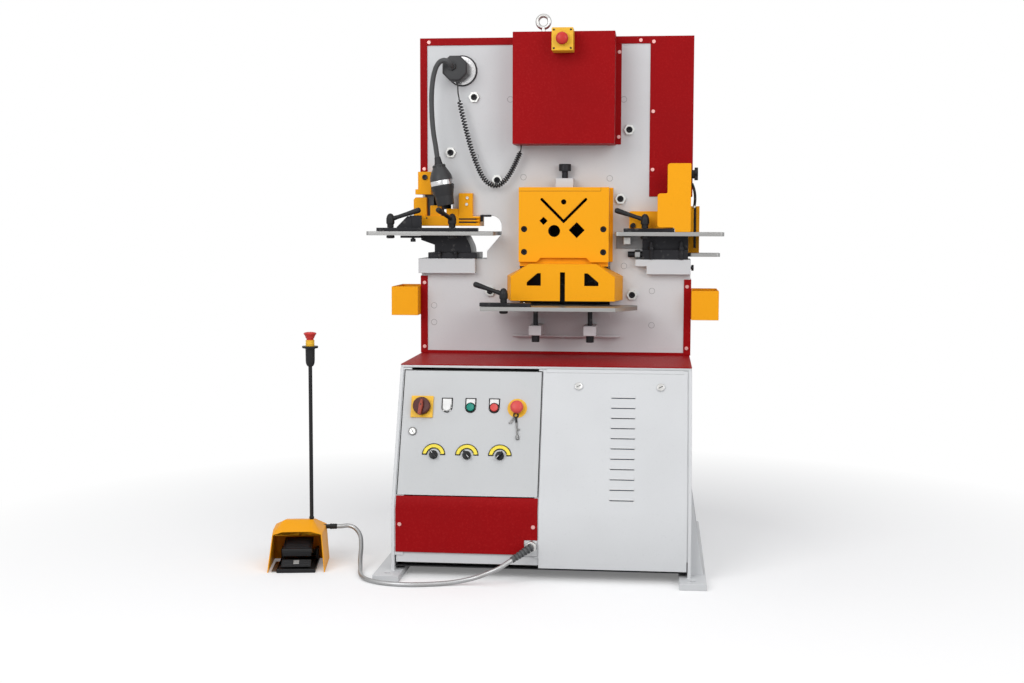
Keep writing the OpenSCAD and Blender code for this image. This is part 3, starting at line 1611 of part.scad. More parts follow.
module main_switch_knob() {
    color("darkred") on_slope(switch_x, row_z) {
        translate([0, 0, -shaft_in]) cylinder(r = shaft_r, h = 2 * shaft_in);
        translate([0, 0, switch_plate_t + gap]) cylinder(r = switch_r, h = switch_h);
        translate([-grip_w / 2, -switch_r, switch_plate_t + switch_h]) cube([grip_w, 2 * switch_r, grip_h]);
    }
}

// Push button
module push_button(x) {
    on_slope(x, row_z) translate([0, 0, -shaft_in]) cylinder(r = button_r, h = shaft_in + button_h);
}

module start_button() {
    color("seagreen") push_button(start_x);
}

module stop_button() {
    color("red") push_button(stop_x);
}

module panel_estop_button() {
    color("red") on_slope(estop_x, row_z) mushroom(panel_cap_up);
}

// Selector knob with a grip across it
module selector(x, turn) {
    color(black) on_slope(x, selector_z) rotate([0, 0, turn]) {
        translate([0, 0, -shaft_in]) cylinder(r = shaft_r, h = 2 * shaft_in);
        translate([0, 0, gap]) cylinder(r = selector_r, h = selector_h - grip_h);
        translate([-grip_w / 4, -selector_r, gap]) cube([grip_w / 2, 2 * selector_r, selector_h]);
    }
}

selector_turns = [40, 38, -40];
module selector_left() {
    selector(selector_x[0], selector_turns[0]);
}

module selector_centre() {
    selector(selector_x[1], selector_turns[1]);
}

module selector_right() {
    selector(selector_x[2], selector_turns[2]);
}

module door_lock() {
    color(steel) on_slope(lock_at[0], lock_at[1]) difference() {
        union() {
            translate([0, 0, -shaft_in]) cylinder(r = shaft_r, h = shaft_in + lock_h);
            translate([0, 0, gap]) cylinder(r = lock_r, h = lock_h);
        }
        translate([-lock_r / 2, -bezel_t / 2, lock_h - bezel_t]) cube([lock_r, bezel_t, lock_h]);
    }
}

module access_cover() {
    step = (louvre_z[1] - louvre_z[0]) / (louvres - 1);
    color(grey) {
        difference() {
            front_sheet(cover_x, [cover_z, door_top + panel_gap], 0, sheet_t);
            for (i = [0:louvres - 1])
                on_slope(louvre_x, louvre_z[0] + i * step)
                    cube([louvre_w, louvre_h, 4 * sheet_t], center = true);
        }
        for (x = cover_lock_x)
            on_slope(x, cover_lock_z) raised(lock_h) circle(lock_r);
    }
}

// Clamp lever: stud with a nut, hub on the fence and rising arm
module clamp_lever(x, y, seat, turn) {
    z = seat + fence_h + gap;
    under = seat - table_t - gap;
    color(black) translate([x, y, 0]) {
        rod_z(0, 0, stud_d / 2, [under - nut_under_h, z + hub_h]);
        rod_z(0, 0, nut_under_r, [under - nut_under_h, under]);
        rod_z(0, 0, hub_neck_r, [z, z + hub_neck_h]);
        rod_z(0, 0, hub_r, [z + hub_neck_h, z + hub_h]);
        translate([0, 0, z + hub_h]) sphere(hub_r - run);
        translate([0, 0, z + hub_h - arm_r[0]]) rotate([0, 90 - arm_rise, turn])
            cylinder(r1 = arm_r[0], r2 = arm_r[1], h = arm_len);
    }
}

// Fence bar with bored holes for the lever studs
module fence(x, y, seat, studs) {
    difference() {
        span(x, [y, y + fence_w], at(seat, [gap, fence_h]));
        for (s = studs)
            rod_z(s, y + fence_w / 2, stud_d / 2 + run, at(seat, [-cut, fence_h + cut]));
    }
}

module punch_fence() {
    color(black) {
        fence([-fx - fence_left, -fx + fence_right], fence_y, z_work, [left_lever_x, right_lever_x]);
        span(at(-fx - stop_left, [0, stop_w]), at(fence_y + fence_w, [0, stop_d]), at(z_work, [gap, stop_h]));
    }
}

lever_turns = [4, -110, 172, 170];
module punch_lever_left() {
    clamp_lever(left_lever_x, stud_y, z_work, lever_turns[0]);
}

module punch_lever_right() {
    clamp_lever(right_lever_x, stud_y, z_work, lever_turns[1]);
}

module shear_fence() {
    color(black) fence(shear_fence_x, shear_fence_y, z_shear, [shear_lever_x]);
}

module shear_lever() {
    clamp_lever(shear_lever_x, shear_fence_y + fence_w / 2, z_shear, lever_turns[2]);
}

module notcher_lever() {
    clamp_lever(notch_lever_x, y_front - ntable_front + fence_inset + fence_w / 2, z_work, lever_turns[3]);
}

module hold_down_screw() {
    z = z_guard[1] + hold_h + hold_neck;
    color(black) {
        rod_z(tool_x, y_front - hold_d / 2, hold_screw_r, [z_guard[1] - guard_t - hold_tip, z]);
        rod_z(tool_x, y_front - hold_d / 2, hold_head_r, [z, z + hold_head_h]);
    }
}

front_plate();
rear_plate();
frame_spacers();
guide_pads();
gib_nuts();
edge_covers();
cylinder_cover();
lifting_eye();
base_frame();
drip_tray();
kick_panel();
cover_screws();
socket_screws();
side_bins();
support_blocks();
punch_die_holder();
notcher_die();
work_tables();
stripper();
notcher_guard();
guard_knob();
shear_guard();
flat_shear_guard();
fixed_blades();
hydraulic_cylinder();
power_pack();
motor_shaft();
top_estop_box();
top_estop_button();
lamp_base();
lamp_head();
lamp_cord();
pedal_hood();
pedal_base();
treadle();
estop_pole();
pole_estop_button();
pedal_cable();
cable_glands();
ram_plate();
piston_rod();
punch_holder();
ram_blades();
control_door();
main_switch_knob();
start_button();
stop_button();
panel_estop_button();
selector_left();
selector_centre();
selector_right();
door_lock();
access_cover();
punch_fence();
punch_lever_left();
punch_lever_right();
shear_fence();
shear_lever();
notcher_lever();
hold_down_screw();
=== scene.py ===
import json
from math import cos, pi, radians, sin

import bpy
from mathutils import Euler, Matrix, Vector


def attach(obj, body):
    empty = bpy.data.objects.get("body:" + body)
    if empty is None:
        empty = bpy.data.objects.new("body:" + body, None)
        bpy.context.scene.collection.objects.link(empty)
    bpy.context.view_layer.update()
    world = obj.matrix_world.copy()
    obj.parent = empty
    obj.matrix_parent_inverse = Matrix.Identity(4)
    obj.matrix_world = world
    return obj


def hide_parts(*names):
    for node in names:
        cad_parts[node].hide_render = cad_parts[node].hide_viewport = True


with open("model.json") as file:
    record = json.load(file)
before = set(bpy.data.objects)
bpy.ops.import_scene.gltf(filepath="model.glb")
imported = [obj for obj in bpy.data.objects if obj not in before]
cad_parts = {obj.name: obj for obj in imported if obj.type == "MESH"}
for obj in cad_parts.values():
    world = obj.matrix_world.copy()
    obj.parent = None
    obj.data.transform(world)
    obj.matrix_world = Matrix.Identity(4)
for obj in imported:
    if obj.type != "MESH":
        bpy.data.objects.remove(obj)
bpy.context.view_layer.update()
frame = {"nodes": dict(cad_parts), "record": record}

# The studio. A pale floor that runs to white, soft boxes over the front corners and overhead, and a camera at
# the height of the work tables, a little to the machine's right, as in the photograph.


class Value:
    """One socket of a material's nodes: sums and products of values add Math nodes."""

    def __init__(self, socket):
        self.socket = socket
        self.tree = socket.id_data

    def node(self, kind, sockets, out=0, **settings):
        made = self.tree.nodes.new("ShaderNode" + kind)
        for key, value in settings.items():
            setattr(made, key, value)
        for key, value in sockets.items():
            if isinstance(value, Value):
                self.tree.links.new(value.socket, made.inputs[key])
            else:
                made.inputs[key].default_value = value
        return Value(made.outputs[out])

    def maths(self, operation, first, second):
        return self.node("Math", {0: first, 1: second}, operation=operation)

    def __add__(self, other):
        return self.maths("ADD", self, other)

    def __mul__(self, other):
        return self.maths("MULTIPLY", self, other)

    def __rsub__(self, other):
        return self.maths("SUBTRACT", other, self)

    __radd__ = __add__
    __rmul__ = __mul__

    def between(self, low, high):
        """The value spread from 0 at low to 1 at high, and held there."""
        return self.node("MapRange", {"Value": self, "From Min": low, "From Max": high})

    def blend(self, first, second):
        """Colour first where the value is 0 and colour second where it is 1."""
        ends = [shade if isinstance(shade, Value) else (*shade, 1) for shade in (first, second)]
        return self.node("Mix", {0: self, 6: ends[0], 7: ends[1]}, out=2, data_type="RGBA")

    def noise(self, scale, detail, stretch=(1, 1, 1)):
        """Fractal noise over this place, with lumps about 1 / scale metres across."""
        place = self.node("Mapping", {"Vector": self, "Scale": stretch})
        return self.node("TexNoise", {"Vector": place, "Scale": scale, "Detail": detail})

    def bumps(self, strength, depth):
        """Surface normal of this height."""
        return self.node("Bump", {"Height": self, "Strength": strength, "Distance": depth})


def finish(name):
    """A new material and the place of a point on its piece."""
    material = bpy.data.materials.new(name)
    material.use_nodes = True
    return material, Value(material.node_tree.nodes.new("ShaderNodeTexCoord").outputs["Object"])


def coat(material, sockets):
    """Sets the shader's own sockets, by value or by link."""
    shader = material.node_tree.nodes["Principled BSDF"]
    for key, value in sockets.items():
        if isinstance(value, Value):
            material.node_tree.links.new(value.socket, shader.inputs[key])
        elif key == "Base Color":
            shader.inputs[key].default_value = (*value, 1)
        else:
            shader.inputs[key].default_value = value
    return material


def backdrop(tree, light, seen, output):
    """Shows one shader to the camera, to gloss and through glass, and lights the object with the other."""
    path = tree.nodes.new("ShaderNodeLightPath").outputs
    looks = Value(path["Is Camera Ray"]) + Value(path["Is Glossy Ray"]) + Value(path["Is Transmission Ray"])
    mix = looks.node("MixShader", {0: looks, 1: light, 2: seen})
    tree.links.new(mix.socket, tree.nodes[output].inputs["Surface"])


scene = bpy.context.scene
scene.view_settings.view_transform = "Standard"
white = (1, 1, 1, 1)
sky = bpy.data.worlds.new("studio_sky")
sky.use_nodes = True
scene.world = sky
sky_light = sky.node_tree.nodes["Background"]
sky_light.inputs["Color"].default_value = (0.96, 0.97, 1, 1)
sky_light.inputs["Strength"].default_value = 0.5
sky_glow = Value(sky_light.outputs[0])
sky_white = sky_glow.node("Background", {"Color": white, "Strength": 1})
backdrop(sky.node_tree, sky_glow, sky_white, "World Output")


def linked(name, data):
    """A new object in the scene."""
    made = bpy.data.objects.new(name, data)
    scene.collection.objects.link(made)
    return made


bpy.ops.mesh.primitive_plane_add(size=60, location=(0, 0, 0))
floor = bpy.context.object
floor.name = "studio_floor"
floor_paint, spot = finish("floor_paint")
coat(floor_paint, {"Base Color": (0.55, 0.55, 0.55), "Roughness": 0.9})
floor_light = Value(floor_paint.node_tree.nodes["Principled BSDF"].outputs[0])
away = spot.node("VectorMath", {0: spot}, out=1, operation="LENGTH").between(0.9, 2.2)
shadow_floor = spot.node("BsdfDiffuse", {"Color": (0.88, 0.88, 0.88, 1)})
glow = spot.node("Emission", {"Color": white, "Strength": 0.16})
near_floor = spot.node("AddShader", {0: shadow_floor, 1: glow})
far_floor = spot.node("Emission", {"Color": white, "Strength": 1})
white_floor = spot.node("MixShader", {0: away, 1: near_floor, 2: far_floor})
backdrop(floor_paint.node_tree, floor_light, white_floor, "Material Output")
floor.data.materials.append(floor_paint)

for name, place, aim, size, watts in (
        ("key_box", (-2.2, -3.8, 2.9), (0, 0, 1.0), 2.8, 95),
        ("fill_box", (2.8, -3.6, 2.6), (0, 0, 1.0), 2.8, 66),
        ("top_box", (0, -1.2, 4.4), (0, 0, 0.6), 3.0, 22)):
    lamp = bpy.data.lights.new(name, "AREA")
    lamp.size = size
    lamp.energy = watts
    holder = linked(name, lamp)
    holder.location = place
    holder.rotation_euler = (Vector(aim) - Vector(place)).to_track_quat("-Z", "Y").to_euler()

camera = linked("photo_camera", bpy.data.cameras.new("photo_camera"))
camera.data.sensor_width = 36
camera.data.lens = 49.83
camera.location = (0.3466, -4.5358, 1.0669)
tilt, roll, turn = -0.0832, 0.0025, 0.1032
aim = Euler((pi / 2 + tilt, 0, turn)).to_matrix() @ Matrix.Rotation(roll, 3, "Z")
camera.rotation_euler = aim.to_euler()
scene.camera = camera

# Grey machine paint on the frame plates, the bolsters and the base: a smooth two-part coat over flame-cut and
# folded steel, with a faint orange peel and a little workshop dust. Corners are ground round before painting.
MM = 0.001


def paint(name, colour, peel, peel_depth, gloss, dust, shine=0.5):
    """Machine paint: peel is its grain per metre, gloss its roughness, dust how much grey settles on it."""
    material, place = finish(name)
    dust_grey = 0.34
    cloud = place.noise(5, 5).between(0.38, 0.7)
    speck = place.noise(160, 3).between(0.62, 0.74)
    worn = [shade * 0.86 for shade in colour]
    dusty = [shade * (1 - dust) + dust_grey * dust for shade in colour]
    shade = (cloud * 0.8).blend(colour, dusty)
    shade = (speck * 0.35).blend(shade, worn)
    grain = place.noise(peel, 2).bumps(0.5, peel_depth)
    rough = gloss + cloud * 0.1 + speck * 0.05
    return coat(material, {"Base Color": shade, "Roughness": rough, "Normal": grain,
                           "Specular IOR Level": shine})


bodies = {node: body for body, nodes in frame["record"]["behaviour"]["bodies"].items() for node in nodes}
slots = {part["node"]: part["material_slot"] for part in frame["record"]["subparts"]}


def mode(name):
    bpy.ops.object.mode_set(mode=name)


def alone(piece):
    """Makes a piece the active one and the only one selected."""
    bpy.ops.object.select_all(action="DESELECT")
    piece.select_set(True)
    bpy.context.view_layer.objects.active = piece


def pick(piece, kind, wanted):
    """Leaves a piece in edit mode with only the edges or polygons that pass the test selected."""
    alone(piece)
    mode("EDIT")
    bpy.ops.mesh.select_mode(type="EDGE" if kind == "edges" else "FACE")
    bpy.ops.mesh.select_all(action="DESELECT")
    mode("OBJECT")
    for item in getattr(piece.data, kind):
        item.select = wanted(item)
    mode("EDIT")


def flattened(piece):
    """Shades flat faces flat and rounded edges round."""
    bpy.ops.object.shade_smooth_by_angle(angle=radians(50))
    weighted = piece.modifiers.new("flat_faces", "WEIGHTED_NORMAL")
    weighted.weight = 100
    weighted.keep_sharp = True
    bpy.ops.object.modifier_apply(modifier="flat_faces")


def cut_corners(piece, corners):
    """Cuts edges that run from front to back: x, z, width of the cut in mm and its steps."""
    for x, z, cut, steps in corners:
        def at_corner(edge):
            ends = [piece.data.vertices[i].co / MM for i in edge.vertices]
            return all(abs(end.x - x) < 1 and abs(end.z - z) < 1 for end in ends)

        pick(piece, "edges", at_corner)
        bpy.ops.mesh.bevel(offset=cut * MM, segments=steps)
        mode("OBJECT")


def eased(node, width, *materials, steps=2, corners=()):
    """A copy of a CAD node with its corners rounded by a width in mm, which stands for it."""
    piece = linked(node + "_piece", frame["nodes"][node].data.copy())
    alone(piece)
    piece.data.materials.clear()
    for material in materials:
        piece.data.materials.append(material)
    bpy.ops.mesh.customdata_custom_splitnormals_clear()
    mode("EDIT")
    bpy.ops.mesh.select_all(action="SELECT")
    bpy.ops.mesh.remove_doubles(threshold=0.02 * MM)
    bpy.ops.mesh.dissolve_limited(angle_limit=radians(0.5))
    mode("OBJECT")
    cut_corners(piece, corners)
    if width:
        rounding = piece.modifiers.new("rounding", "BEVEL")
        rounding.width = width * MM
        rounding.segments = steps
        rounding.limit_method = "ANGLE"
        rounding.angle_limit = radians(32)
        rounding.use_clamp_overlap = False
        bpy.ops.object.modifier_apply(modifier="rounding")
    flattened(piece)
    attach(piece, bodies[node])
    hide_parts(node)
    return piece


grey_paint = paint("grey_paint", (0.63, 0.64, 0.65), 700, 0.00012, 0.42, 0.1, 0.4)
for node in ("front_plate", "rear_plate", "support_blocks", "base_frame"):
    eased(node, 1.5, grey_paint)

# Red powder coat on the sheet-metal covers: edge channels, cylinder cover, tray and kick panel. The coat is
# thick and wrinkled, and its ridges are painted a paler red in small flecks: a painted highlight.
red_coat, place = finish("red_coat")
wrinkle = place.noise(170, 5)
# Ridge mask: the ridges get a paler red, a painted highlight, and a little more gloss.
ridge_highlight = wrinkle.between(0.5, 0.76)
shade = (ridge_highlight * 0.4).blend((0.31, 0.004, 0.006), (0.44, 0.02, 0.02))
shade = (place.noise(6, 4).between(0.4, 0.7) * 0.3).blend(shade, (0.24, 0.005, 0.007))
coat(red_coat, {"Base Color": shade, "Roughness": 0.46 - ridge_highlight * 0.12, "Normal": wrinkle.bumps(0.5, 0.0006),
                "Specular IOR Level": 0.06})
for node in ("edge_covers", "cylinder_cover", "drip_tray", "kick_panel"):
    eased(node, 0.8, red_coat)

# Orange-yellow paint on the guards, the stripper, the bins and the pedal hood, all that keeps hands away,
# brushed over plain steel blocks and folded sheet.
yellow_paint = paint("yellow_paint", (0.93, 0.39, 0.009), 500, 0.0002, 0.4, 0.004, 0.1)
stripper_corners = ((-472, 1152.5, 7, 1), (-472, 1073.5, 4, 1))
guard_corners = ((339, 1054.5, 9, 5), (339, 1164.5, 9, 5), (371, 1261.5, 9, 5), (371, 1164.5, 5, 4),
                 (447, 1261.5, 4, 3), (396, 1054.5, 8, 3), (247, 1047.5, 5, 3), (247, 1107.5, 5, 3))
for node, corners in (("side_bins", ()), ("stripper", stripper_corners), ("notcher_guard", guard_corners),
                      ("shear_guard", ()), ("flat_shear_guard", ())):
    eased(node, 1.2, yellow_paint, corners=corners)


# Ground steel of the tables, the ram, the spacers, the lifting eye and the shafts, with fine scratches along
# the grinding and a skin of oil.
def ground_steel(name, colour, along, rough):
    material, place = finish(name)
    stretch = [6 if axis == along else 160 for axis in "XYZ"]
    lines = place.noise(8, 4, stretch)
    stain = place.noise(14, 4).between(0.45, 0.75)
    shade = (lines.between(0.3, 0.7) * 0.6).blend(colour, [c * 0.72 for c in colour])
    shade = (stain * 0.35).blend(shade, (0.24, 0.22, 0.2))
    rough = rough + stain * 0.14 + lines * 0.12
    return coat(material, {"Base Color": shade, "Metallic": 0.95, "Roughness": rough,
                           "Normal": lines.bumps(0.12, 0.0002)})


table_steel = ground_steel("table_steel", (0.36, 0.36, 0.355), "X", 0.3)
eased("work_tables", 0.8, table_steel)
bright_steel = ground_steel("bright_steel", (0.56, 0.56, 0.55), "X", 0.22)
for node in ("ram_plate", "frame_spacers", "lifting_eye"):
    eased(node, 1.2, bright_steel)
for node in ("piston_rod", "motor_shaft"):
    eased(node, 0, bright_steel)


# Blackened steel of dies, punch holder, fences, blades, cylinder and screws: an oil-black skin that shows
# bare metal where it rubs.
def blackened(name, colour, rough):
    material, place = finish(name)
    rub = place.noise(60, 5).between(0.6, 0.72)
    cloud = place.noise(12, 4).between(0.35, 0.7)
    shade = (cloud * 0.6).blend(colour, [c * 2.2 for c in colour])
    shade = (rub * 0.3).blend(shade, (0.2, 0.19, 0.18))
    return coat(material, {"Base Color": shade, "Metallic": 0.6, "Roughness": rough + cloud * 0.12,
                           "Normal": place.noise(500, 3).bumps(0.3, 0.0002), "Specular IOR Level": 0.25})


black_steel = blackened("black_steel", (0.015, 0.015, 0.017), 0.36)
for node in ("notcher_die", "fixed_blades", "ram_blades", "punch_holder", "shear_fence", "hydraulic_cylinder",
             "socket_screws", "hold_down_screw"):
    eased(node, 0.8, black_steel)
eased("punch_fence", 0.8, black_steel, corners=((-520, 1089.5, 36, 1),))
eased("punch_die_holder", 0.8, black_steel, corners=((-280, 985.1, 14, 5), (-300, 1026.5, 8, 4)))

# Small fasteners and bearings: pale zinc on the lock nuts, zinc tinted pink on the cover screws, a painted
# reflection of the red covers, and bronze on the guide pads.
zinc = ground_steel("zinc", (0.66, 0.66, 0.64), "Z", 0.3)
eased("gib_nuts", 0.6, zinc)
# Pink tint of the cover screws: painted reflection of the red covers round them.
red_reflection_zinc = ground_steel("red_reflection_zinc", (0.78, 0.42, 0.4), "Z", 0.34)
eased("cover_screws", 0.6, red_reflection_zinc)
bronze = ground_steel("bronze", (0.45, 0.27, 0.11), "X", 0.3)
eased("guide_pads", 0.6, bronze)

# The power pack in the right bay: a welded steel tank with the motor upright on its lid and the pump hung
# under it, in blue machine paint.
blue_paint = paint("blue_paint", (0.05, 0.11, 0.26), 600, 0.0002, 0.4, 0.08)
eased("power_pack", 1.5, blue_paint)

# Plugs over the dowel holes of the front plate: turned discs pressed in flush and painted with the plate, so
# that only a fine ring shows.
forward = (0, -1, 0)
plate_y = 192


def moved(*place):
    """A shift in mm."""
    return Matrix.Translation(Vector(place) * MM)


def framed(base, aim=forward):
    """The frame of a piece drawn along +Z, set at a point in mm and turned to look along a line."""
    return moved(*base) @ Vector(aim).to_track_quat("Z", "Y").to_matrix().to_4x4()


def placed(piece, name, place, material):
    """Names a new piece, gives it its finish and sets its mesh in place."""
    piece.name = name
    piece.data.materials.append(material)
    piece.matrix_world = place
    bpy.ops.object.transform_apply()
    flattened(piece)
    return piece


def turned(name, material, place, rings, sides=40, hollow=False):
    """A round piece built up from a disc, extruded and scaled from ring to ring: height and radius in mm."""
    high, wide = rings[0]
    bpy.ops.mesh.primitive_circle_add(vertices=sides, radius=wide * MM, fill_type="NGON",
                                      location=(0, 0, high * MM))
    piece = bpy.context.object
    bpy.ops.object.transform_apply()
    mode("EDIT")
    bpy.ops.mesh.select_all(action="SELECT")
    for (high, wide), (top, radius) in zip(rings, rings[1:]):
        bpy.ops.mesh.extrude_region_move(TRANSFORM_OT_translate={"value": (0, 0, (top - high) * MM)})
        bpy.ops.transform.resize(value=(radius / wide, radius / wide, 1), center_override=(0, 0, top * MM))
    if hollow:
        bpy.ops.mesh.select_face_by_sides(number=4, type="GREATER")
        bpy.ops.mesh.delete(type="ONLY_FACE")
    bpy.ops.mesh.select_all(action="SELECT")
    bpy.ops.mesh.remove_doubles(threshold=0.005 * MM)
    bpy.ops.mesh.normals_make_consistent()
    mode("OBJECT")
    return placed(piece, name, place, material)


def joined(name, pieces):
    """Welds several pieces into one object."""
    alone(pieces[0])
    for piece in pieces[1:]:
        piece.select_set(True)
    if len(pieces) > 1:
        bpy.ops.object.join()
    pieces[0].name = name
    return pieces[0]


def mounted(name, slot, parts, body="frame", *nodes):
    """Welds parts into one piece on a body and hides the CAD nodes that it stands for. The slot is not used.
    """
    piece = joined(name, parts)
    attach(piece, body)
    if nodes:
        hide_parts(*nodes)


# Dark seam grey: the fine ring round each plug, and the painted shade plate behind the notcher's packing
# square.
seam_and_shade_paint = paint("seam_and_shade_paint", (0.2, 0.205, 0.21), 700, 0.00012, 0.5, 0.1)
plugs = []
for x, z in ((-150.6, 1476.6), (225.3, 1474.2), (-265.9, 1288.5), (-106.1, 1220), (180.8, 1215.8),
             (323.7, 844.1), (323.3, 729.9), (-407.7, 790.3), (-407.8, 733.8), (230.2, 926.5)):
    seat = framed((x, plate_y, z))
    plugs.append(turned("plug_seam", seam_and_shade_paint, seat, [(-1, 10), (0.06, 10)], 32))
    plugs.append(turned("plug_face", grey_paint, seat, [(-1, 8.8), (0.1, 8.8), (0.3, 8.4)], 32))
mounted("plate_plugs", "grey_paint", plugs)


# Moulded black plastic: a fine spark-eroded grain that dulls the highlights, with a smear of oil from gloves.
# The star knob of the notcher's guard is of it.
def moulded(name, colour, rough, shine=0.3):
    material, place = finish(name)
    smear = place.noise(30, 4).between(0.4, 0.75)
    shade = (smear * 0.5).blend(colour, [c * 0.8 + 0.012 for c in colour])
    return coat(material, {"Base Color": shade, "Roughness": rough + smear * 0.12,
                           "Normal": place.noise(900, 2).bumps(0.35, 0.00015), "Specular IOR Level": shine})


black_plastic = moulded("black_plastic", (0.013, 0.013, 0.014), 0.4, 0.22)
eased("guard_knob", 0.4, black_plastic)

# Clamp levers of the fences: a die-cast arm on a domed hub, stove-enamelled black. A steel stud runs from the
# hub through fence and table to a round nut, which the lever draws up.
hub_rings = [
    (-35.6, 9), (-34.6, 12.5), (-32.5, 14), (-28, 14), (-25.6, 12.5), (-25.6, 6), (-0.1, 6), (0, 10.4),
    (0.6, 11), (11, 11), (13, 13.2), (14, 14), (29, 14), (32, 13.6), (34, 12.6), (36, 12.2), (40, 10.6),
    (44, 7.4), (46, 4), (46.8, 0.6)]
arm_rings = [
    (7, 6), (9, 7.4), (16, 7.6), (26, 6.6), (60, 7.2), (82, 8.6), (94, 9.2), (100, 8.8), (103, 7.2),
    (105, 4.6), (105.6, 0.8)]
arm_rise = radians(18)
hub_up = 12.3
arm_up = 27
for node, x, y, seat, turn in (
        ("punch_lever_left", -538, 97, 1039.5, 4), ("punch_lever_right", -332, 97, 1039.5, -110),
        ("shear_lever", -150, -8, 800, 172), ("notcher_lever", 299, 117, 1039.5, 170)):
    turn = radians(turn)
    seat += hub_up
    reach = (cos(turn) * cos(arm_rise), sin(turn) * cos(arm_rise), sin(arm_rise))
    mounted(node + "_casting", "black_plastic", [
        turned("hub", black_plastic, framed((x, y, seat), (0, 0, 1)), hub_rings, 16),
        turned("arm", black_plastic, framed((x, y, seat + arm_up), reach), arm_rings, 20)], node, node)

# Fittings of the punch station: yellow bars and screws on the stripper, a dark guide post behind it, a hook
# that keeps work down, clamp bolts, and a stop plate and clip on the fence.
upright = Matrix.Identity(4)


def block(name, material, low, high, rounding, steps=2, place=upright):
    """A box between two corners in mm, with its edges rounded."""
    middle = [(a + b) / 2 * MM for a, b in zip(low, high)]
    bpy.ops.mesh.primitive_cube_add(size=1, location=middle, scale=[(b - a) * MM for a, b in zip(low, high)])
    piece = bpy.context.object
    bpy.ops.object.transform_apply()
    mode("EDIT")
    bpy.ops.mesh.select_all(action="SELECT")
    bpy.ops.mesh.bevel(offset=rounding * MM, segments=steps)
    mode("OBJECT")
    return placed(piece, name, place, material)


bolster_z = 950
socket_rings = [(-3, 6.6), (0.2, 6.6), (0.3, 8.4), (5, 8.4), (6, 7.6), (6, 4.2), (2, 4)]
bolt_rings = [(0, 6), (13, 6), (13.4, 9), (14.4, 10), (21, 10), (22, 9), (22, 1)]
punch_trim = [
    turned("bracket_screw", black_steel, framed((-431.5, 152, 1219)), socket_rings, 24),
    turned("dowel", black_steel, framed((-426.8, 158, 1083.4)), [(-1, 2.6), (0.1, 2.6), (0.16, 0.4)], 16),
    block("hook_arm", black_steel, (-250, 184, 1088), (-213, 191, 1095), 1.2),
    block("hook_tip", black_steel, (-250, 184, 1072), (-240, 191, 1092), 1.2)]
# Black blocks in the stripper's two grooves: painted shade that keeps the grooves dark.
for z in (1067.6, 1078.2):
    punch_trim.append(block("groove_shade", black_steel, (-319, 167, z), (-262, 178, z + 4.6), 0.4, 1))
for x in (-386, -331):
    punch_trim.append(turned("bolt", black_steel, framed((x, 164, bolster_z), (0, 0, 1)), bolt_rings, 6))
mounted("punch_trim", "black_steel", punch_trim)
post_steel = blackened("post_steel", (0.05, 0.052, 0.055), 0.4)
mounted("guide_post", "black_steel", [block("post", post_steel, (-437, 186, 1086), (-407, 200, 1162), 1)])
mounted("strip_trim", "yellow_paint", [
    block("strip_end", yellow_paint, (-330, 196, 1066), (-250, 291, 1089), 1.2),
    block("front_bar", yellow_paint, (-446, 158, 1057.8), (-356, 166, 1091), 1.2),
    block("link_bar", yellow_paint, (-362, 168, 1058), (-316, 178, 1115), 1.2)])
block_screw_rings = [(-1, 5.2), (2.6, 5.2), (3.4, 4.6), (3.4, 2.6), (1.6, 2.4)]
mounted("block_screws", "zinc", [turned("block_screw", zinc, framed((x, 165, z)), block_screw_rings, 24)
                                 for x, z in ((-291, 1150.7), (-293, 1129.7))])
mounted("fence_trim", "black_steel", [
    block("stop_plate", black_steel, (-476, 111, 1041), (-436, 117, 1092), 0.8),
    block("table_clip", black_steel, (-504, 92, 1018), (-436, 110, 1025.5), 1),
    turned("clip_knob", black_steel, framed((-463, 101, 1018), (0, 0, -1)),
           [(0, 5), (2, 5), (2.2, 8), (3, 8.6), (12, 8.6), (12.8, 8), (12.8, 1)], 20)], "punch_fence")

# Fittings of the notcher: a socket screw in the wing, a bowed spring latch with a pale screw down the guard's
# side, a plate in the rear guard's slot, and by the die clamp studs, a dark grey plate that is painted shade
# for the recess behind the packing square, an adjuster nut, the face of a packing square and a knob.


def metres(points):
    return [Vector(point) * MM for point in points]


def smoothed(points, steps):
    """Points of a smooth line through the given ones."""
    line = []
    held = [points[0], *points, points[-1]]
    for a, b, c, d in zip(held, held[1:], held[2:], held[3:]):
        for s in range(steps):
            t = s / steps
            line.append(0.5 * (2 * b + (c - a) * t + (2 * a - 5 * b + 4 * c - d) * t * t
                               + (3 * b - a - 3 * c + d) * t * t * t))
    return line + [points[-1]]


def cord_piece(name, line, thick, material, sizes=(1,)):
    """A round cord along the line, as a curve whose thickness runs through the given sizes."""
    curve = bpy.data.curves.new(name, "CURVE")
    curve.dimensions = "3D"
    curve.bevel_depth = thick / 2
    curve.bevel_resolution = 4
    curve.use_fill_caps = True
    spline = curve.splines.new("POLY")
    spline.points.add(len(line) - 1)
    for i, (point, place) in enumerate(zip(spline.points, line)):
        point.co = (*place, 1)
        point.radius = sizes[i % len(sizes)]
    curve.materials.append(material)
    return linked(name, curve)


def meshed(piece):
    """Makes a curve piece a mesh."""
    alone(piece)
    bpy.ops.object.convert(target="MESH")
    bpy.ops.object.shade_smooth_by_angle(angle=radians(40))
    return bpy.context.object


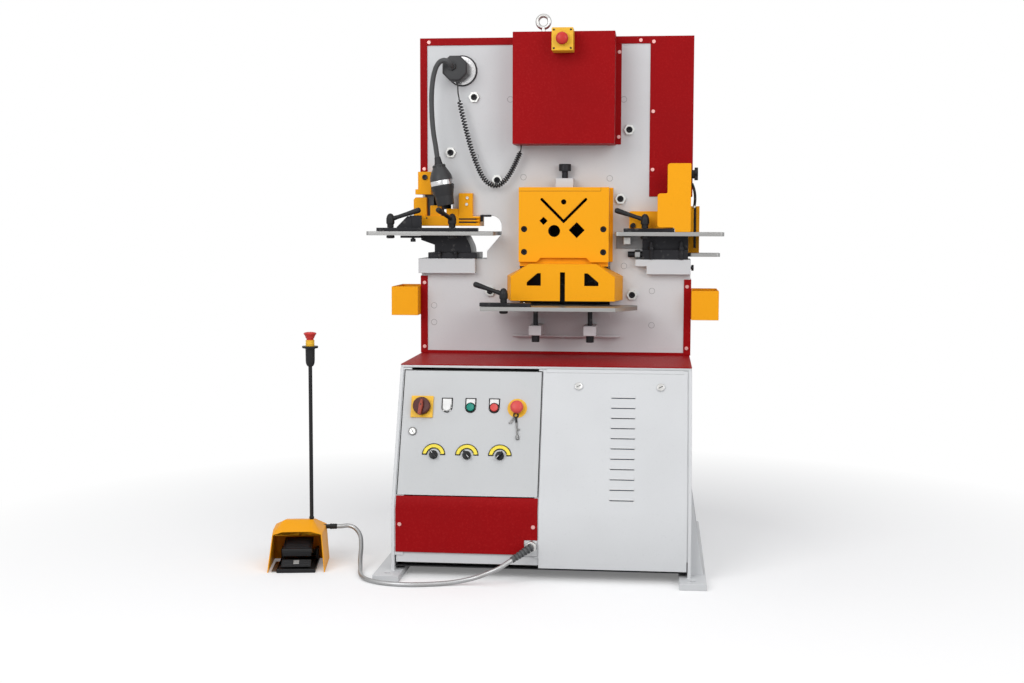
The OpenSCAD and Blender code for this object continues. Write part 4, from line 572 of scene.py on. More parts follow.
latch_d = 9 * MM
latch_line = smoothed(metres([(450, 150, 1198), (455, 150, 1186), (459.4, 150, 1169), (461, 150, 1150),
                              (460, 150, 1132), (457, 150, 1116)]), 4)
stud_rings = [
    (0, 6.4), (30, 6.4), (30.4, 9.6), (31.4, 10.4), (40, 10.4), (41, 9.6), (41, 6.4), (57, 6.4), (58.4, 5)]
notcher_trim = [
    meshed(cord_piece("latch", latch_line, latch_d, black_steel)),
    turned("wing_screw", black_steel, framed((260, 152, 1061)), socket_rings, 24),
    block("tail_plate", black_steel, (461.6, 296.6, 985.6), (468.4, 331, 1125), 0.8),
    turned("bolster_knob", black_steel, framed((450, 180, 922), (1, 0, 0)),
           [(-1, 5), (2, 5), (2.2, 9), (3, 9.8), (9, 9.8), (10, 8.8), (10, 1)], 24)]
for x in (320, 418):
    notcher_trim.append(turned("stud", black_steel, framed((x, 161, bolster_z), (0, 0, 1)), stud_rings, 6))
mounted("notcher_trim", "black_steel", notcher_trim)
mounted("notcher_screws", "zinc", [
    turned("latch_screw", zinc, framed((459, 146, 1122)), [(-2, 4), (2, 4), (3, 3.2), (3, 1)], 20),
    turned("adjuster_nut", table_steel, framed((266, 178.5, 965.5), (1, 0, 0)),
           [(0, 13), (1, 15), (17, 15), (18, 13), (18, 9)], 6),
    block("packing_face", zinc, (229.5, 170.6, 1000), (250.5, 172.6, 1021), 0.6, 1)])
# A dark grey plate behind the packing square: painted shade for the recess there.
mounted("recess_shade_plate", "grey_paint", [block("recess_shade", seam_and_shade_paint, (204, 187.6, 984), (292, 192.2, 1027), 0.8)])

# Fittings of the shears: a yellow skirt behind the bar guard's cut-out and dark yellow-brown lines along the
# folds of its top, painted shade in the creases, a black plate behind the flat guard's windows, a grey strip
# over the blade, and a rod that ties the brackets.
# A shaded copy of the yellow paint for the fold lines: painted shade.
crease_shade_yellow = paint("crease_shade_yellow", (0.3, 0.1, 0.004), 500, 0.0002, 0.5, 0.006, 0.2)
mounted("guard_trim", "yellow_paint", [
    block("guard_skirt", yellow_paint, (-112, 128, 926), (180, 131, 962), 0.8),
    block("lid_crease_shade", crease_shade_yellow, (-113, 111.7, 1171.6), (156, 112.6, 1173), 0.2, 1),
    block("flange_crease_shade", crease_shade_yellow, (154.6, 111.7, 1172), (156, 112.6, 1184.4), 0.2, 1)])
# The black plate behind the flat guard's windows: black like the blades behind it, and painted shade inside
# the guard.
mounted("window_shade_plate", "black_steel", [block("plate", black_steel, (-108, 186, 803), (176, 191, 930), 0.8)])
mounted("blade_cover", "grey_paint", [block("bar", grey_paint, (-120, 190.4, 752), (188, 192.4, 786.6), 0.8)])
mounted("tie_rod", "grey_paint", [turned("rod", grey_paint, framed((-139, 170, 692), (1, 0, 0)),
                                         [(0, 3.4), (0.8, 4), (359, 4), (360, 3.4)], 20)])

# Control parts in coloured plastic: red, green and white caps, yellow plates and discs, and black rims. Each
# is moulded smooth in its own colour and left unpainted.
stop_red = moulded("stop_red", (0.56, 0.028, 0.022), 0.32)
red_plastic = moulded("red_plastic", (0.68, 0.075, 0.07), 0.3)
maroon_plastic = moulded("maroon_plastic", (0.075, 0.011, 0.008), 0.36)
handle_plastic = moulded("handle_plastic", (0.3, 0.045, 0.022), 0.34)
green_plastic = moulded("green_plastic", (0.004, 0.24, 0.18), 0.3)
yellow_plastic = moulded("yellow_plastic", (0.88, 0.5, 0.03), 0.34)
dial_yellow = moulded("dial_yellow", (0.9, 0.74, 0.07), 0.4)
legend_white = moulded("legend_white", (0.82, 0.82, 0.81), 0.35)
# This black is print and rims, and it also draws the slot and keyhole marks, which are painted shade.
print_and_shade_black = moulded("print_and_shade_black", (0.012, 0.012, 0.012), 0.5)

# The control door: folded grey sheet with the switch plate, three U-shaped button plates, a pilot lamp, the
# stop disc and three half-ring dials riveted on. Button plates and dials have a black rim, and a rubber seal
# is pressed over the door's edge.
slope_up, slope_out, slope_lean = 0.92275, 0.38538, 0.41766
front_y, front_z = -378, 208


def on_front(x, z):
    """The frame of a fitting on the sloped front: its axes run right, up the slope and outwards."""
    axes = Matrix(((1, 0, 0), (0, slope_out, -slope_up), (0, slope_up, slope_out)))
    return moved(x, front_y + slope_lean * (z - front_z), z) @ axes.to_4x4()


def about(place, wide, low, high, deep):
    """A test for faces whose centre lies within a box about a fitting, in mm."""
    back = place.inverted()

    def inside(face):
        right, up, out = (back @ face.center) / MM
        return abs(right) < wide and low < up < high and deep[0] < out < deep[1]

    return inside


def paint_faces(piece, index, wanted):
    """Gives the faces that pass the test another of the piece's materials."""
    for face in piece.data.polygons:
        if wanted(face):
            face.material_index = index


def rimmed(piece, wanted, rim, index):
    """Insets the faces that pass the test by a rim in mm and gives what is inside another material."""
    pick(piece, "polygons", wanted)
    bpy.ops.mesh.inset(thickness=rim * MM)
    piece.active_material_index = index
    bpy.ops.object.material_slot_assign()
    mode("OBJECT")


row_z = 503
dial_z = 364
switch_x, pilot_x, start_x, stop_x, estop_x = -374, -297, -224, -151, -80
dial_x = (-330, -228, -127)
rim_black, plate_white, plate_yellow, plate_dial = 1, 2, 3, 4
# The door's grey is a little darker than the frame's grey.
door_paint = paint("door_paint", (0.55, 0.56, 0.565), 700, 0.00012, 0.44, 0.1, 0.35)
door = eased("control_door", 0.6, door_paint, print_and_shade_black, legend_white, yellow_plastic, dial_yellow)
paint_faces(door, plate_yellow, about(on_front(switch_x, row_z), 35, -35, 35, (0.2, 7)))
paint_faces(door, plate_yellow, about(on_front(estop_x, row_z), 31, -31, 31, (0.2, 3)))
for x in (pilot_x, start_x, stop_x):
    fitting = on_front(x, row_z)
    paint_faces(door, rim_black, about(fitting, 18, -18, 31, (0.2, 3)))
    rimmed(door, about(fitting, 18, -18, 31, (1.9, 2.1)), 3.4, plate_white)
paint_faces(door, plate_white, about(on_front(pilot_x, row_z), 13, -13, 13, (2.2, 10)))
for x in dial_x:
    fitting = on_front(x, dial_z)
    paint_faces(door, rim_black, about(fitting, 37, -1, 37, (0.2, 3)))
    rimmed(door, about(fitting, 37, -1, 37, (1.9, 2.1)), 3, plate_dial)
bpy.ops.mesh.customdata_custom_splitnormals_clear()
flattened(door)
door_left, door_right, door_low, door_high = -436, -6.5, 249, 613
door_rise = (door_high - door_low) / slope_up
seal = [block("seal", print_and_shade_black, low, high, 0.4, 1, on_front(x, z)) for x, z, low, high in (
    (door_left, door_low, (-0.6, 0, -1), (2.2, door_rise, 0.9)),
    (door_left, door_high, (0, -2.4, -1), (429.5, 0.4, 0.9)),
    (door_right, door_low, (-2.2, 0, -1), (0.6, door_rise, 0.9)))]
mounted("door_seal", "black_rubber", seal, "control_door")

# Switches of the door: a maroon main switch with a tapered handle, two push buttons with dished caps, and the
# stop mushroom in a black collar. Their shafts run through the door to the contact blocks behind it.


def spun(degrees, axis="Z"):
    """A turn about an axis."""
    return Matrix.Rotation(radians(degrees), 4, axis)


def tapered(piece, place, axis, end, share, across):
    """Narrows a placed block towards one end of an axis of its frame, to a share of its width across."""
    back = place.inverted()
    spots = [back @ vertex.co for vertex in piece.data.vertices]
    low = min(spot[axis] for spot in spots)
    high = max(spot[axis] for spot in spots)
    for vertex, spot in zip(piece.data.vertices, spots):
        part = (spot[axis] - low) / (high - low)
        part = part if end > 0 else 1 - part
        spot[across] *= 1 - part * (1 - share)
        vertex.co = place @ spot


fitting = on_front(switch_x, row_z)
disc = turned("disc", maroon_plastic, fitting,
              [(-14, 5), (6.2, 5), (6.3, 25.5), (7.5, 27), (15, 27), (15.6, 26), (16.4, 26), (17, 27),
               (20.6, 26.4), (22, 25), (22.3, 23), (21.6, 21.5), (21.4, 0.5)])
grip = fitting @ spun(-7)
upper = block("upper", handle_plastic, (-7, -2, 20), (7, 17, 32.2), 2.4, 3, grip)
lower = block("lower", handle_plastic, (-7, -32, 20), (7, 2, 32.2), 2.4, 3, grip)
tapered(upper, grip, 1, 1, 0.4, 0)
tapered(lower, grip, 1, -1, 0.7, 0)
pin = turned("pin", print_and_shade_black, fitting, [(31, 2.4), (32.4, 2.4), (32.6, 2)], 16)
mounted("main_switch", "red_plastic", [disc, upper, lower, pin], "main_switch_knob", "main_switch_knob")

button_rings = [(-14, 12), (6.6, 12), (8.2, 11.6), (9, 10.6), (8.7, 9.6), (8.3, 7), (8.2, 0.5)]
for node, x, material in (("start_button", start_x, green_plastic), ("stop_button", stop_x, red_plastic)):
    cap = turned("cap", material, on_front(x, row_z), button_rings)
    mounted(node + "_cap", slots[node], [cap], node, node)
mushroom_rings = [
    (-15, 11), (9, 11), (10, 12), (10, 16), (10.8, 18.4), (13, 19.8), (16, 20), (21, 19.7), (24.5, 18.4),
    (27.2, 15.6), (28.8, 12), (29.6, 8), (30, 3), (30, 0.5)]


def mushroom(name, material, place, rings, body):
    """A stop mushroom, turned in one piece: stem, skirt and domed head."""
    mounted(name, "red_plastic", [turned("mushroom", material, place, rings)], body, body)


def collar(name, place, foot):
    """The black collar round a mushroom's stem, from a foot height in mm."""
    rings = [(foot, 17), (3.6, 17), (4.4, 16), (4.4, 11.6), (foot, 11.6), (foot, 17)]
    return turned(name, black_plastic, place, rings, hollow=True)


mushroom("panel_mushroom", red_plastic, on_front(estop_x, row_z), mushroom_rings, "panel_estop_button")
mounted("stop_collar", "black_plastic", [collar("stop_collar", on_front(estop_x, row_z), 1)], "control_door")

# Selectors under the yellow dials: black knobs with a grip across them and a white line for a pointer. The
# pale lock of the door sits to their left.
knob_rings = [(-14, 5), (0.2, 5), (0.3, 12.6), (1, 13), (7.4, 13), (9.2, 12.4), (10.3, 11), (10.3, 0.5)]
for node, x, turn, pointer in (("selector_left", dial_x[0], 40, 0), ("selector_centre", dial_x[1], 38, 180),
                               ("selector_right", dial_x[2], -40, 180)):
    fitting = on_front(x, dial_z) @ spun(turn)
    knob = turned("knob", black_plastic, fitting, knob_rings)
    grip = block("grip", black_plastic, (-3.4, -13.5, 8), (3.4, 13.5, 20.3), 1.4, 3, fitting)
    line = block("line", legend_white, (-0.8, 3, 19.4), (0.8, 12.6, 20.5), 0.2, 1, fitting @ spun(pointer))
    mounted(node + "_knob", "black_plastic", [knob, grip, line], node, node)
key_steel = ground_steel("key_steel", (0.2, 0.2, 0.2), "Z", 0.3)
lock_seat = on_front(-399, 431)
# The keyhole is a black block on the lock's core: painted shade for the opening.
keyhole_seat = lock_seat @ Matrix.Rotation(0.6, 4, "Z")
mounted("lock_barrel", slots["door_lock"], [
    turned("lock_face", key_steel, lock_seat,
           [(-14, 6), (0, 6), (0, 12.4), (0.6, 13), (3.2, 13), (4, 12.2), (4, 9.8), (3, 9.2), (3, 0.5)]),
    turned("lock_core", zinc, lock_seat, [(2, 9), (4.2, 9), (4.6, 8.4), (4.6, 0.5)], 24),
    block("keyhole_shade", print_and_shade_black, (-1.4, -6, 3), (1.4, 6, 4.9), 0.2, 1, keyhole_seat)],
    "door_lock", "door_lock")

# Keys of the stop mushroom: two flat keys and a cabinet key on a black clip, hung under the mushroom against
# the door.
clip = on_front(estop_x - 3, row_z - 21)
clip_rings = [(2.1, 9), (3.8, 9), (4.5, 8), (4.5, 4.5), (2.1, 4.5), (2.1, 9)]
keys = [turned("clip", black_plastic, clip, clip_rings, 24, hollow=True)]
for lean, long in ((-38, 27), (-30, 24)):
    keys.append(block("blade", key_steel, (-2.2, -long - 6, 2.6), (2.2, -6, 3.7), 0.4, 1, clip @ spun(lean)))
swing = clip @ spun(6)
keys += [block("strap", black_plastic, (-3.2, -24, 2.2), (3.2, -5, 4.6), 0.8, 1, swing),
         turned("shank", key_steel, swing @ moved(0, -24, 4) @ spun(90, "X"),
                [(0, 2.2), (40, 2.2), (40.5, 5), (52, 5), (52.6, 4.4)], 16),
         block("wing", key_steel, (2, -48, 2.6), (9, -43, 5.2), 0.6, 1, swing)]
mounted("stop_keys", "bright_steel", keys, "control_door")

# The access cover of the right bay: folded grey sheet with eleven pressed louvres, held by two quarter-turn
# locks. Each louvre is a lip pushed out of the sheet above its slot, and one more lip closes the top edge.


def copied(piece, place):
    """A copy of a piece with its own mesh, set in place."""
    copy = linked(piece.name, piece.data.copy())
    copy.data.transform(place)
    return copy


eased("access_cover", 0.6, grey_paint)
louvre_count, louvre_x, louvre_low, louvre_pitch = 11, 243, 246, 29.2
lip = block("louvre_lip", grey_paint, (-37, -0.5, -0.5), (37, 7.5, 3.4), 0.8)
tapered(lip, upright, 1, 1, 0.2, 2)
lips = [copied(lip, on_front(louvre_x, louvre_low + louvre_pitch * i)) for i in range(louvre_count)]
bpy.data.objects.remove(lip)
lips.append(block("top_lip", grey_paint, (6, -4, 0.2), (426, 7, 1.4), 0.4, 1, on_front(0, door_high)))
mounted("louvre_lips", "grey_paint", lips, "access_cover")
cover_locks = []
for x in (106, 356):
    seat = on_front(x, 570)
    cover_locks.append(turned("lock_head", bright_steel, seat,
                              [(0, 12), (4.2, 12), (5, 11.2), (5, 10), (4.6, 9.6), (4.6, 0.5)], 32))
    # The slot across each lock's head is a black block: painted shade for the slot.
    cover_locks.append(block("lock_slot_shade", print_and_shade_black, (-7.5, -1.2, 4), (7.5, 1.2, 4.75), 0.3, 1,
                             seat @ Matrix.Rotation(0.5, 4, "Z")))
mounted("cover_locks", "bright_steel", cover_locks, "access_cover")

# The stop box on the cylinder cover: a yellow moulded box with four corner screws in its lid, and a red
# mushroom in a black collar on its front.
eased("top_estop_box", 3, yellow_plastic, steps=3)
box_x, box_y, box_z = 34, 7, 1649.5
box_front = framed((box_x, box_y, box_z))
mushroom("top_mushroom", stop_red, box_front, mushroom_rings, "top_estop_button")
trims = [collar("shroud", box_front, -1)]
lid_screw_rings = [(-1, 3.2), (0.8, 3.2), (1.3, 2.6), (1.3, 1.2), (0.4, 1)]
for right in (-27, 27):
    for up in (-29, 29):
        seat = framed((box_x + right, box_y, box_z + up))
        trims.append(turned("lid_screw", print_and_shade_black, seat, lid_screw_rings, 16))
mounted("stop_box_trim", "black_plastic", trims)

# The work lamp: a chromed magnetic foot with a rubber rim, an octagonal dark grey housing, a ribbed gooseneck
# and a conical head with cooling slots, a silver band and a stepped black shade round a frosted lens. The
# cooling slots are black blocks on the cone, painted shade for the openings.


def run_length(line):
    return sum((b - a).length for a, b in zip(line, line[1:]))


def spaced(line, pitch):
    """The line again with its points a pitch apart."""
    even = [line[0]]
    left = pitch
    for a, b in zip(line, line[1:]):
        gone = 0
        span = (b - a).length
        while span - gone >= left:
            gone += left
            even.append(a.lerp(b, gone / span))
            left = pitch
        left -= span - gone
    return even + [line[-1]]


chrome = ground_steel("chrome", (0.7, 0.7, 0.71), "X", 0.12)
black_rubber = moulded("black_rubber", (0.02, 0.02, 0.022), 0.48)
lamp_grey = moulded("lamp_grey", (0.04, 0.041, 0.043), 0.4, 0.28)
neck_grey = moulded("neck_grey", (0.06, 0.062, 0.064), 0.36, 0.35)
shade_black = moulded("shade_black", (0.024, 0.024, 0.026), 0.4, 0.25)
lens = moulded("lens", (0.8, 0.8, 0.78), 0.25)
foot = framed((-312, plate_y, 1571))
neck_from = (-336, 124, 1580)
neck_to = (-379.5, 112, 1262)
lamp_parts = [
    turned("foot_rim", black_rubber, foot, [(0, 50.4), (0.6, 51), (5.4, 51), (6.6, 50), (6.6, 46.8)], 56),
    turned("foot_face", chrome, foot, [(0.5, 47), (7, 47), (8, 46), (8, 30)], 56),
    turned("housing", lamp_grey, framed((-328, plate_y, 1574)) @ spun(22.5),
           [(8, 42), (9.5, 44), (50, 44), (52, 42.6), (54, 44), (62, 44), (66, 41.4), (68, 38), (68, 10)], 8),
    turned("neck_nut", lamp_grey, framed(neck_from, (-1, -16, 1)),
           [(-2, 15), (6, 15), (7.4, 13.6), (7.4, 9)], 6),
    turned("cord_nut", lamp_grey, framed((-322, 160, 1527), (0, 0, -1)), [(-4, 7), (0.4, 7), (0.8, 6)], 6)]
neck_d = 17 * MM
rib_pitch = 1.3 * MM
neck_route = [
    neck_from, (-337, 108, 1581), (-342, 96, 1588), (-354, 90, 1595), (-370, 91, 1591), (-383, 96, 1576),
    (-392, 100, 1552), (-398, 103, 1520), (-401, 105, 1480), (-401, 107, 1440), (-399, 108, 1400),
    (-395, 109, 1360), (-389, 110, 1322), (-385, 111.5, 1294), (-382.3, 112, 1277), neck_to]
neck_line = spaced(smoothed(metres(neck_route), 8), rib_pitch)
neck = meshed(cord_piece("gooseneck", neck_line, neck_d, neck_grey, (1, 1, 0.9)))
mounted("lamp_foot", "black_plastic", lamp_parts + [neck], "frame", "lamp_base")

head = framed(neck_to, (24.1, 0, -137))
vent_count = 18
head_parts = [
    turned("ferrule", black_rubber, head, [(-22, 8.9), (-21, 10), (-2, 12.6), (0, 13.6), (4, 14)], 32),
    turned("cone", lamp_grey, head,
           [(3, 14), (4, 19), (5.4, 20.6), (14, 21.6), (16, 23), (26, 28.4), (36, 33.2), (44, 36), (50, 36.8),
            (57, 37)], 48),
    turned("band", chrome, head,
           [(56, 35.6), (57, 37.2), (58.4, 37.7), (71, 37.7), (72.4, 37.2), (73, 35.6)], 48),
    turned("shade", shade_black, head,
           [(72, 35), (73, 38), (75, 38.5), (79, 38.2), (105, 32), (107, 31), (109, 30.8), (137.6, 28.4),
            (139, 27.4), (139, 25.6), (108, 28.4), (86, 31), (86, 2)], 48),
    turned("lens", lens, head, [(84, 30), (89, 30), (94, 22), (96, 12), (96.4, 1)])]
# Black blocks round the cone: painted shade for the cooling slots.
for i in range(vent_count):
    seat = head @ spun(360 * i / vent_count) @ moved(21, 0, 9.6)
    head_parts.append(block("vent_shade", print_and_shade_black, (-0.8, -1.3, -3.4), (0.7, 1.3, 3.4), 0.3, 1, seat))
mounted("lamp_hood", "black_plastic", head_parts, "frame", "lamp_head")

# The foot pedal: a hood folded from yellow sheet over a black cast base, a hinged treadle with a sloping
# ribbed pad, and a fixed ramp with a steel catch before it. A zinc plate lies along the left side, and a
# black post carries a stop mushroom on a yellow ring at hand height.
pedal_x, pedal_y = -763, -270
pedal_turn = 9
pedal = moved(pedal_x, pedal_y, 0) @ spun(pedal_turn)
eased("pedal_hood", 1.2, yellow_paint, steps=3)
eased("pedal_base", 2, black_plastic, steps=3)
eased("treadle", 1.2, black_plastic)


def ribs(count, pitch, low, high, rounding, steps, place):
    """Rubber ribs across a plate: the corners of the first, and the rest a pitch in mm behind one another."""
    left, front, under = low
    right, back, top = high
    return [block("rib", black_rubber, (left, front + pitch * i, under), (right, back + pitch * i, top),
                  rounding, steps, place) for i in range(count)]


tread = pedal @ moved(0, 52, 30) @ spun(-14, "X")
pad = pedal @ moved(0, -62, 60) @ spun(9, "X")
ramp = pedal @ moved(0, -97, 20) @ spun(32, "X")
tread_parts = ribs(11, 9, (-42, -116, 7.6), (42, -112, 9), 0.5, 2, tread)
tread_parts += [block("pad", black_plastic, (-44, 0, -9), (44, 104, 6), 2.5, 3, pad),
                block("pad_nose", black_plastic, (-44, -3, -17), (44, 4, 3), 1.5, 2, pad)]
tread_parts += ribs(7, 12, (-36, 12, 5), (36, 18, 7.2), 0.6, 2, pad)
mounted("treadle_ribs", "black_rubber", tread_parts, "treadle")
ramp_parts = [block("ramp", black_plastic, (-45, 0, -4), (45, 30, 0), 1.2, 2, ramp)]
ramp_parts += ribs(3, 8, (-40, 4, -0.5), (40, 7.6, 1.2), 0.5, 1, ramp)
mounted("pedal_ramp", "black_plastic", ramp_parts)
mounted("pedal_screws", "zinc", [
    block("catch", table_steel, (-9, 9, -1), (9, 25, 2.6), 1, 2, ramp),
    block("side_plate", zinc, (-76, -96, 0.4), (-52, 40, 3.4), 0.6, 1, pedal)])
post = pedal @ moved(38, 34, 0)
mounted("stop_post", "black_plastic", [
    turned("tube", black_plastic, post, [(112, 6), (642, 6)], 24),
    turned("post_nut", black_plastic, post, [(141, 7.6), (145, 7.8), (147, 7.4), (148, 6.2)], 24),
    turned("holder", black_plastic, post,
           [(621, 6.4), (622.5, 9), (626, 11.6), (632, 13.6), (640, 14.3), (675, 14.6), (677.6, 16),
            (678.2, 22), (679, 24.4), (681.5, 25), (684.4, 25), (685, 24.2), (685, 14.6)]),
    turned("ring", yellow_plastic, post,
           [(684, 13.4), (690.5, 13.4), (691, 13.9), (696, 13.5), (697, 12.9), (698, 13.5), (703, 13.7),
            (703.7, 13.2), (703.7, 11.4), (684, 11.4), (684, 13.4)], hollow=True)], "frame", "estop_pole")
cap_rings = [
    (656, 11), (704.2, 11), (709, 11.2), (709.2, 13), (713, 14.2), (718, 16.4), (721.5, 19), (722.6, 19.9),
    (724, 20), (725.6, 19.2), (727.4, 16), (728.6, 10), (729, 4), (729, 0.5)]
mushroom("post_mushroom", stop_red, post, cap_rings, "pole_estop_button")

# Glands of the pedal's cable: a short black gland in the hood's side, and on the base a pale lock nut with a
# ribbed rubber boot that keeps the cable from kinking.
gland_back, gland_z, gland_long = 68, 108, 115
side = pedal @ moved(0, gland_back, gland_z) @ spun(90, "Y")
gland_rings = [
    (71, 7), (86, 7), (93, 7.2), (93, 8.6), (96, 9), (99, 8.6), (99, 8), (101, 8), (101, 8.7), (105, 8.7),
    (105, 8), (107, 8), (107, 8.6), (112, 8.4), (gland_long, 7.6)]
boot_rubber = moulded("boot_rubber", (0.085, 0.087, 0.09), 0.45)
boot_from = Vector((-24, -392, 104))
boot_to = Vector((-78, -430, 73))
boot_way = (boot_to - boot_from).normalized()
boot_r = 13
boot_ribs, boot_pitch, boot_shrink = 6, 10.8, 0.5
boot_rings = [(0, boot_r)]
for i in range(boot_ribs):
    size = boot_r - boot_shrink * i
    low = boot_pitch * i
    boot_rings += [(low + 0.6, size), (low + 5.4, size - 0.3), (low + 6.4, size - 3.6),
                   (low + 9.8, size - 3.8)]
boot_rings += [(65, 9.6), (72, 9.4), (72.9, 8.8)]
mounted("cable_gland_set", slots["cable_glands"], [
    turned("gland", black_plastic, side, gland_rings, 32),
    turned("lock_nut", zinc, framed((-24, -375, 104)),
           [(0, 15.6), (1.2, 17.3), (15.5, 17.3), (17, 15.6), (17, 9)], 6),
    turned("boot", boot_rubber, framed(boot_from, boot_way), boot_rings, 32)], "frame", "cable_glands")

# A black sheet laid between the foot rails closes the base from below, so the space under the base shows
# dark: a dark sheet standing for the contact shadow, painted shade. A folded grey sill under the kick panel
# stands before it.
mounted("pan", "black_steel", [block("pan", black_steel, (-438, -364, 30), (438, 341, 34), 1.5)])
mounted("sill", "grey_paint", [block("sill", grey_paint, (-436, -371.4, 45), (-4, -366, 76.8), 0.8)])

# Fittings of the power pack: cast cooling fins and a cowl ring on the motor, a terminal box on its front, and
# on the tank a black filler cap and a level glass in a chromed frame.
motor_axis = moved(230, -25, 0)
fin_count = 28
cowl_rings = [(520, 94), (520, 98.6), (521, 99.4), (528, 99.4), (529, 98.6), (529, 94), (520, 94)]
fins = [turned("cowl_ring", blue_paint, motor_axis, cowl_rings, 56, hollow=True),
        block("terminal_box", blue_paint, (-32, -128, 392), (32, -92, 462), 4, 3, motor_axis),
        block("terminal_lid", blue_paint, (-28, -132, 396), (28, -127, 458), 2, 2, motor_axis)]
for i in range(fin_count):
    seat = motor_axis @ spun(360 * (i + 0.5) / fin_count)
    fins.append(block("fin", blue_paint, (93, -1.5, 316), (102, 1.5, 516), 0.8, 1, seat))
mounted("motor_fins", "blue_paint", fins)
tank_front = framed((375, -190, 190))
mounted("tank_trim", "black_plastic", [
    turned("filler_cap", black_plastic, framed((92, -150, 300), (0, 0, 1)),
           [(0, 24), (2, 24), (2.4, 21), (4, 22), (20, 22), (22, 20), (22, 1)], 24),
    block("glass_frame", chrome, (-11, -52, -1), (11, 52, 5), 2, 2, tank_front),
    block("level_glass", yellow_plastic, (-5, -42, 3), (5, 42, 6), 1, 2, tank_front)])

# Behind the control door: eight contactors snapped on two steel rails, in dark plastic cases with a stepped
# front and bronze terminal screws. A pale duct between the rows takes the wiring; its slots are black blocks,
# painted shade for the openings.
case_grey = moulded("case_grey", (0.1, 0.102, 0.105), 0.42)
duct_grey = moulded("duct_grey", (0.36, 0.37, 0.38), 0.45)
case_parts = [block("case", case_grey, (-30.8, -30.8, -45.8), (30.8, 39.6, 45.8), 2),
              block("case_front", print_and_shade_black, (-27, -44, -24), (27, -29, 24), 2),
              block("case_mark", legend_white, (-18, -44.4, 8), (18, -43, 17), 0.3, 1)]
for right in (-18, 0, 18):
    for up in (-36, 36):
        case_parts.append(turned("terminal", bronze, framed((right, -30.8, up)),
                                 [(-1, 5), (1.4, 5), (2, 4.4), (2, 1.6), (1, 1.4)], 12))
case = joined("case", case_parts)
case_count, case_x, case_pitch = 4, -379.1, 104.4
slot_count, slot_x, slot_pitch, slot_wide = 35, -430, 12, 4
rail_half = 17.5
switchgear = [block("duct", duct_grey, (-434, -14, 363), (-12, 39.6, 397), 1.5)]
for i in range(slot_count):
    x = slot_x + slot_pitch * i
    switchgear.append(block("duct_slot_shade", print_and_shade_black, (x, -14.4, 368), (x + slot_wide, -10, 392), 0.4, 1))
for z in (296.4, 463.6):
    switchgear.append(block("rail", zinc, (-434, 33, z - rail_half), (-12, 39.6, z + rail_half), 0.8, 1))
    switchgear += [copied(case, moved(case_x + case_pitch * i, 0, z)) for i in range(case_count)]
bpy.data.objects.remove(case)
mounted("switchgear", "black_plastic", switchgear)

# A rubber curtain behind the bar shear, screwed to the rear plate by a steel strip, so that offcuts drop
# straight down. Its flaps overlap, so that long bars push through between them.
curtain_x, curtain_y, curtain_low, curtain_high = -112, 313, 770, 1215
flap_count, flap_pitch, flap_wide, flap_thick, flap_lap = 6, 48, 54, 3, 3.4
curtain = []
for i in range(flap_count):
    x = curtain_x + flap_pitch * i
    y = curtain_y + flap_lap * (i % 2)
    curtain.append(block("flap", black_rubber, (x, y, curtain_low),
                         (x + flap_wide, y + flap_thick, curtain_high), 0.8, 1))
curtain.append(block("strip", zinc, (curtain_x, 320, 1190), (179, 323, 1212), 0.6, 1))
mounted("offcut_curtain", "black_rubber", curtain)

# The pedal's cable: a grey sheathed flex about 0.84 m long, seen from end to end. It leaves the hood's gland,
# drops to the floor, runs round the left foot and rises into the strain relief on the base.
cable_d = 14 * MM
turn = radians(pedal_turn)
gland_way = Vector((cos(turn), sin(turn), 0))
gland_side = Vector((-sin(turn), cos(turn), 0))
gland_end = Vector((pedal_x, pedal_y, gland_z)) * MM
gland_end = gland_end + gland_long * MM * gland_way + gland_back * MM * gland_side
cable_route = [
    (-624, -177, 109), (-602, -182, 102), (-582, -203, 84), (-572, -236, 58), (-566, -278, 32),
    (-556, -326, 13), (-544, -380, 7.2), (-521, -434, 7.1), (-482, -470, 7.1), (-430, -490, 7.1),
    (-370, -494, 7.1), (-305, -480, 7.3), (-245, -462, 10), (-190, -454, 21), (-150, -453, 36),
    (-114, -450, 52)]
cable_points = [gland_end, gland_end + cable_d * gland_way]
cable_points += metres(cable_route)
cable_points += [boot_to * MM + cable_d * boot_way, boot_to * MM]
cable_line = smoothed(cable_points, 6)
grey_sheath = ground_steel("grey_sheath", (0.42, 0.425, 0.43), "Z", 0.32)
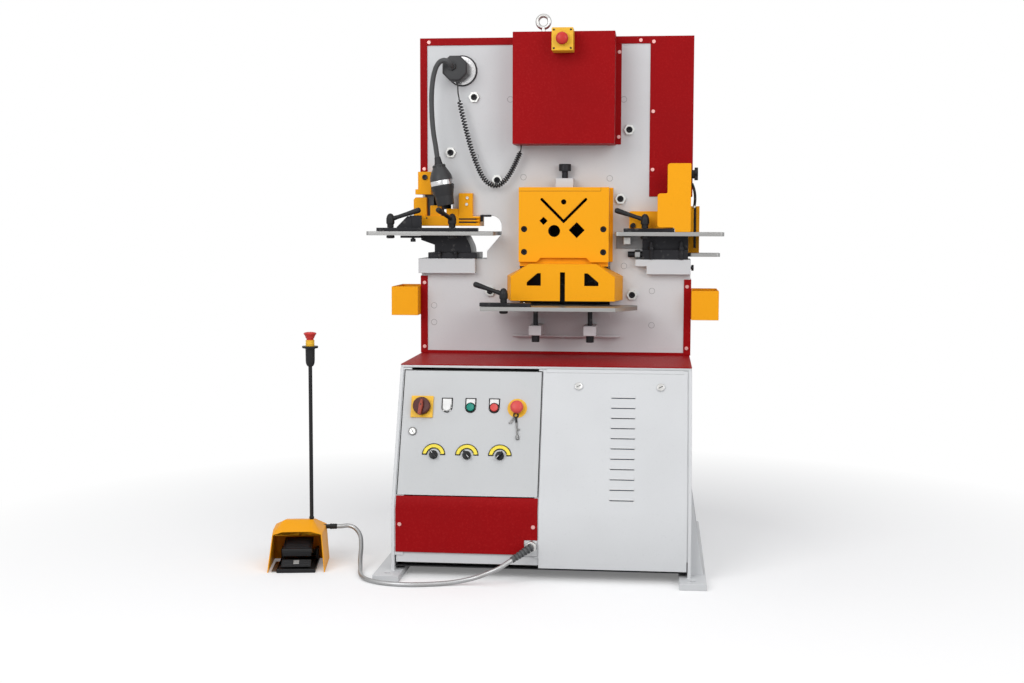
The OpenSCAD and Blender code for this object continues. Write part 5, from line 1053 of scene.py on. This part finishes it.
pedal_cable = cord_piece("pedal_cable_flex", cable_line, cable_d, grey_sheath)
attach(pedal_cable, "frame")
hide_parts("pedal_cable")
run_length(cable_line)

# The lamp's curly cord: thin black flex wound on a mandrel, hung between the lamp's housing and the cylinder
# cover. Its own weight opens the curls on the left and lets them close up on the right.
flex_d = 4.4 * MM
curl_r = 7 * MM
curls = 54
curl_points = 8
closing = 0.2
cord_lead = [(-322, 160, 1526), (-322, 160, 1520), (-322, 160, 1508), (-321, 160, 1494), (-318, 160, 1480)]
cord_route = [
    (-317, 160, 1474), (-312, 160, 1448), (-303, 160, 1410), (-292, 160, 1366), (-280, 160, 1322),
    (-266, 160, 1280), (-250, 160, 1241), (-232, 160, 1211), (-212, 160, 1195), (-190, 160, 1192),
    (-170, 160, 1203), (-152, 160, 1224), (-136, 160, 1252), (-122, 160, 1282), (-113, 160, 1304)]
cord_tail = [(-111.5, 160, 1311), (-111, 160, 1317), (-111, 160, 1324)]
hang = smoothed(metres(cord_route), 6)
hang_at = [0.0]
for a, b in zip(hang, hang[1:]):
    hang_at.append(hang_at[-1] + (b - a).length)


def along_hang(distance):
    """The point at a distance along the hanging centre line."""
    distance = min(max(distance, 0), hang_at[-1])
    for i in range(1, len(hang)):
        if distance <= hang_at[i]:
            share = (distance - hang_at[i - 1]) / (hang_at[i] - hang_at[i - 1])
            return hang[i - 1].lerp(hang[i], share)
    return hang[-1]


rear = Vector((0, 1, 0))
flex_line = metres(cord_lead)
for j in range(1, curls * curl_points):
    share = j / (curls * curl_points)
    distance = hang_at[-1] * ((1 + closing) * share - closing * share * share)
    way = (along_hang(distance + curl_r) - along_hang(distance - curl_r)).normalized()
    grow = min(1, share * curls, (1 - share) * curls)
    angle = 2 * pi * curls * share
    swing = cos(angle) * rear.cross(way) + sin(angle) * rear
    flex_line.append(along_hang(distance) + curl_r * grow * swing)
flex_line += metres(cord_tail)
lamp_flex = cord_piece("lamp_flex", flex_line, flex_d, black_rubber)
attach(lamp_flex, "frame")
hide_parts("lamp_cord")
run_length(flex_line)
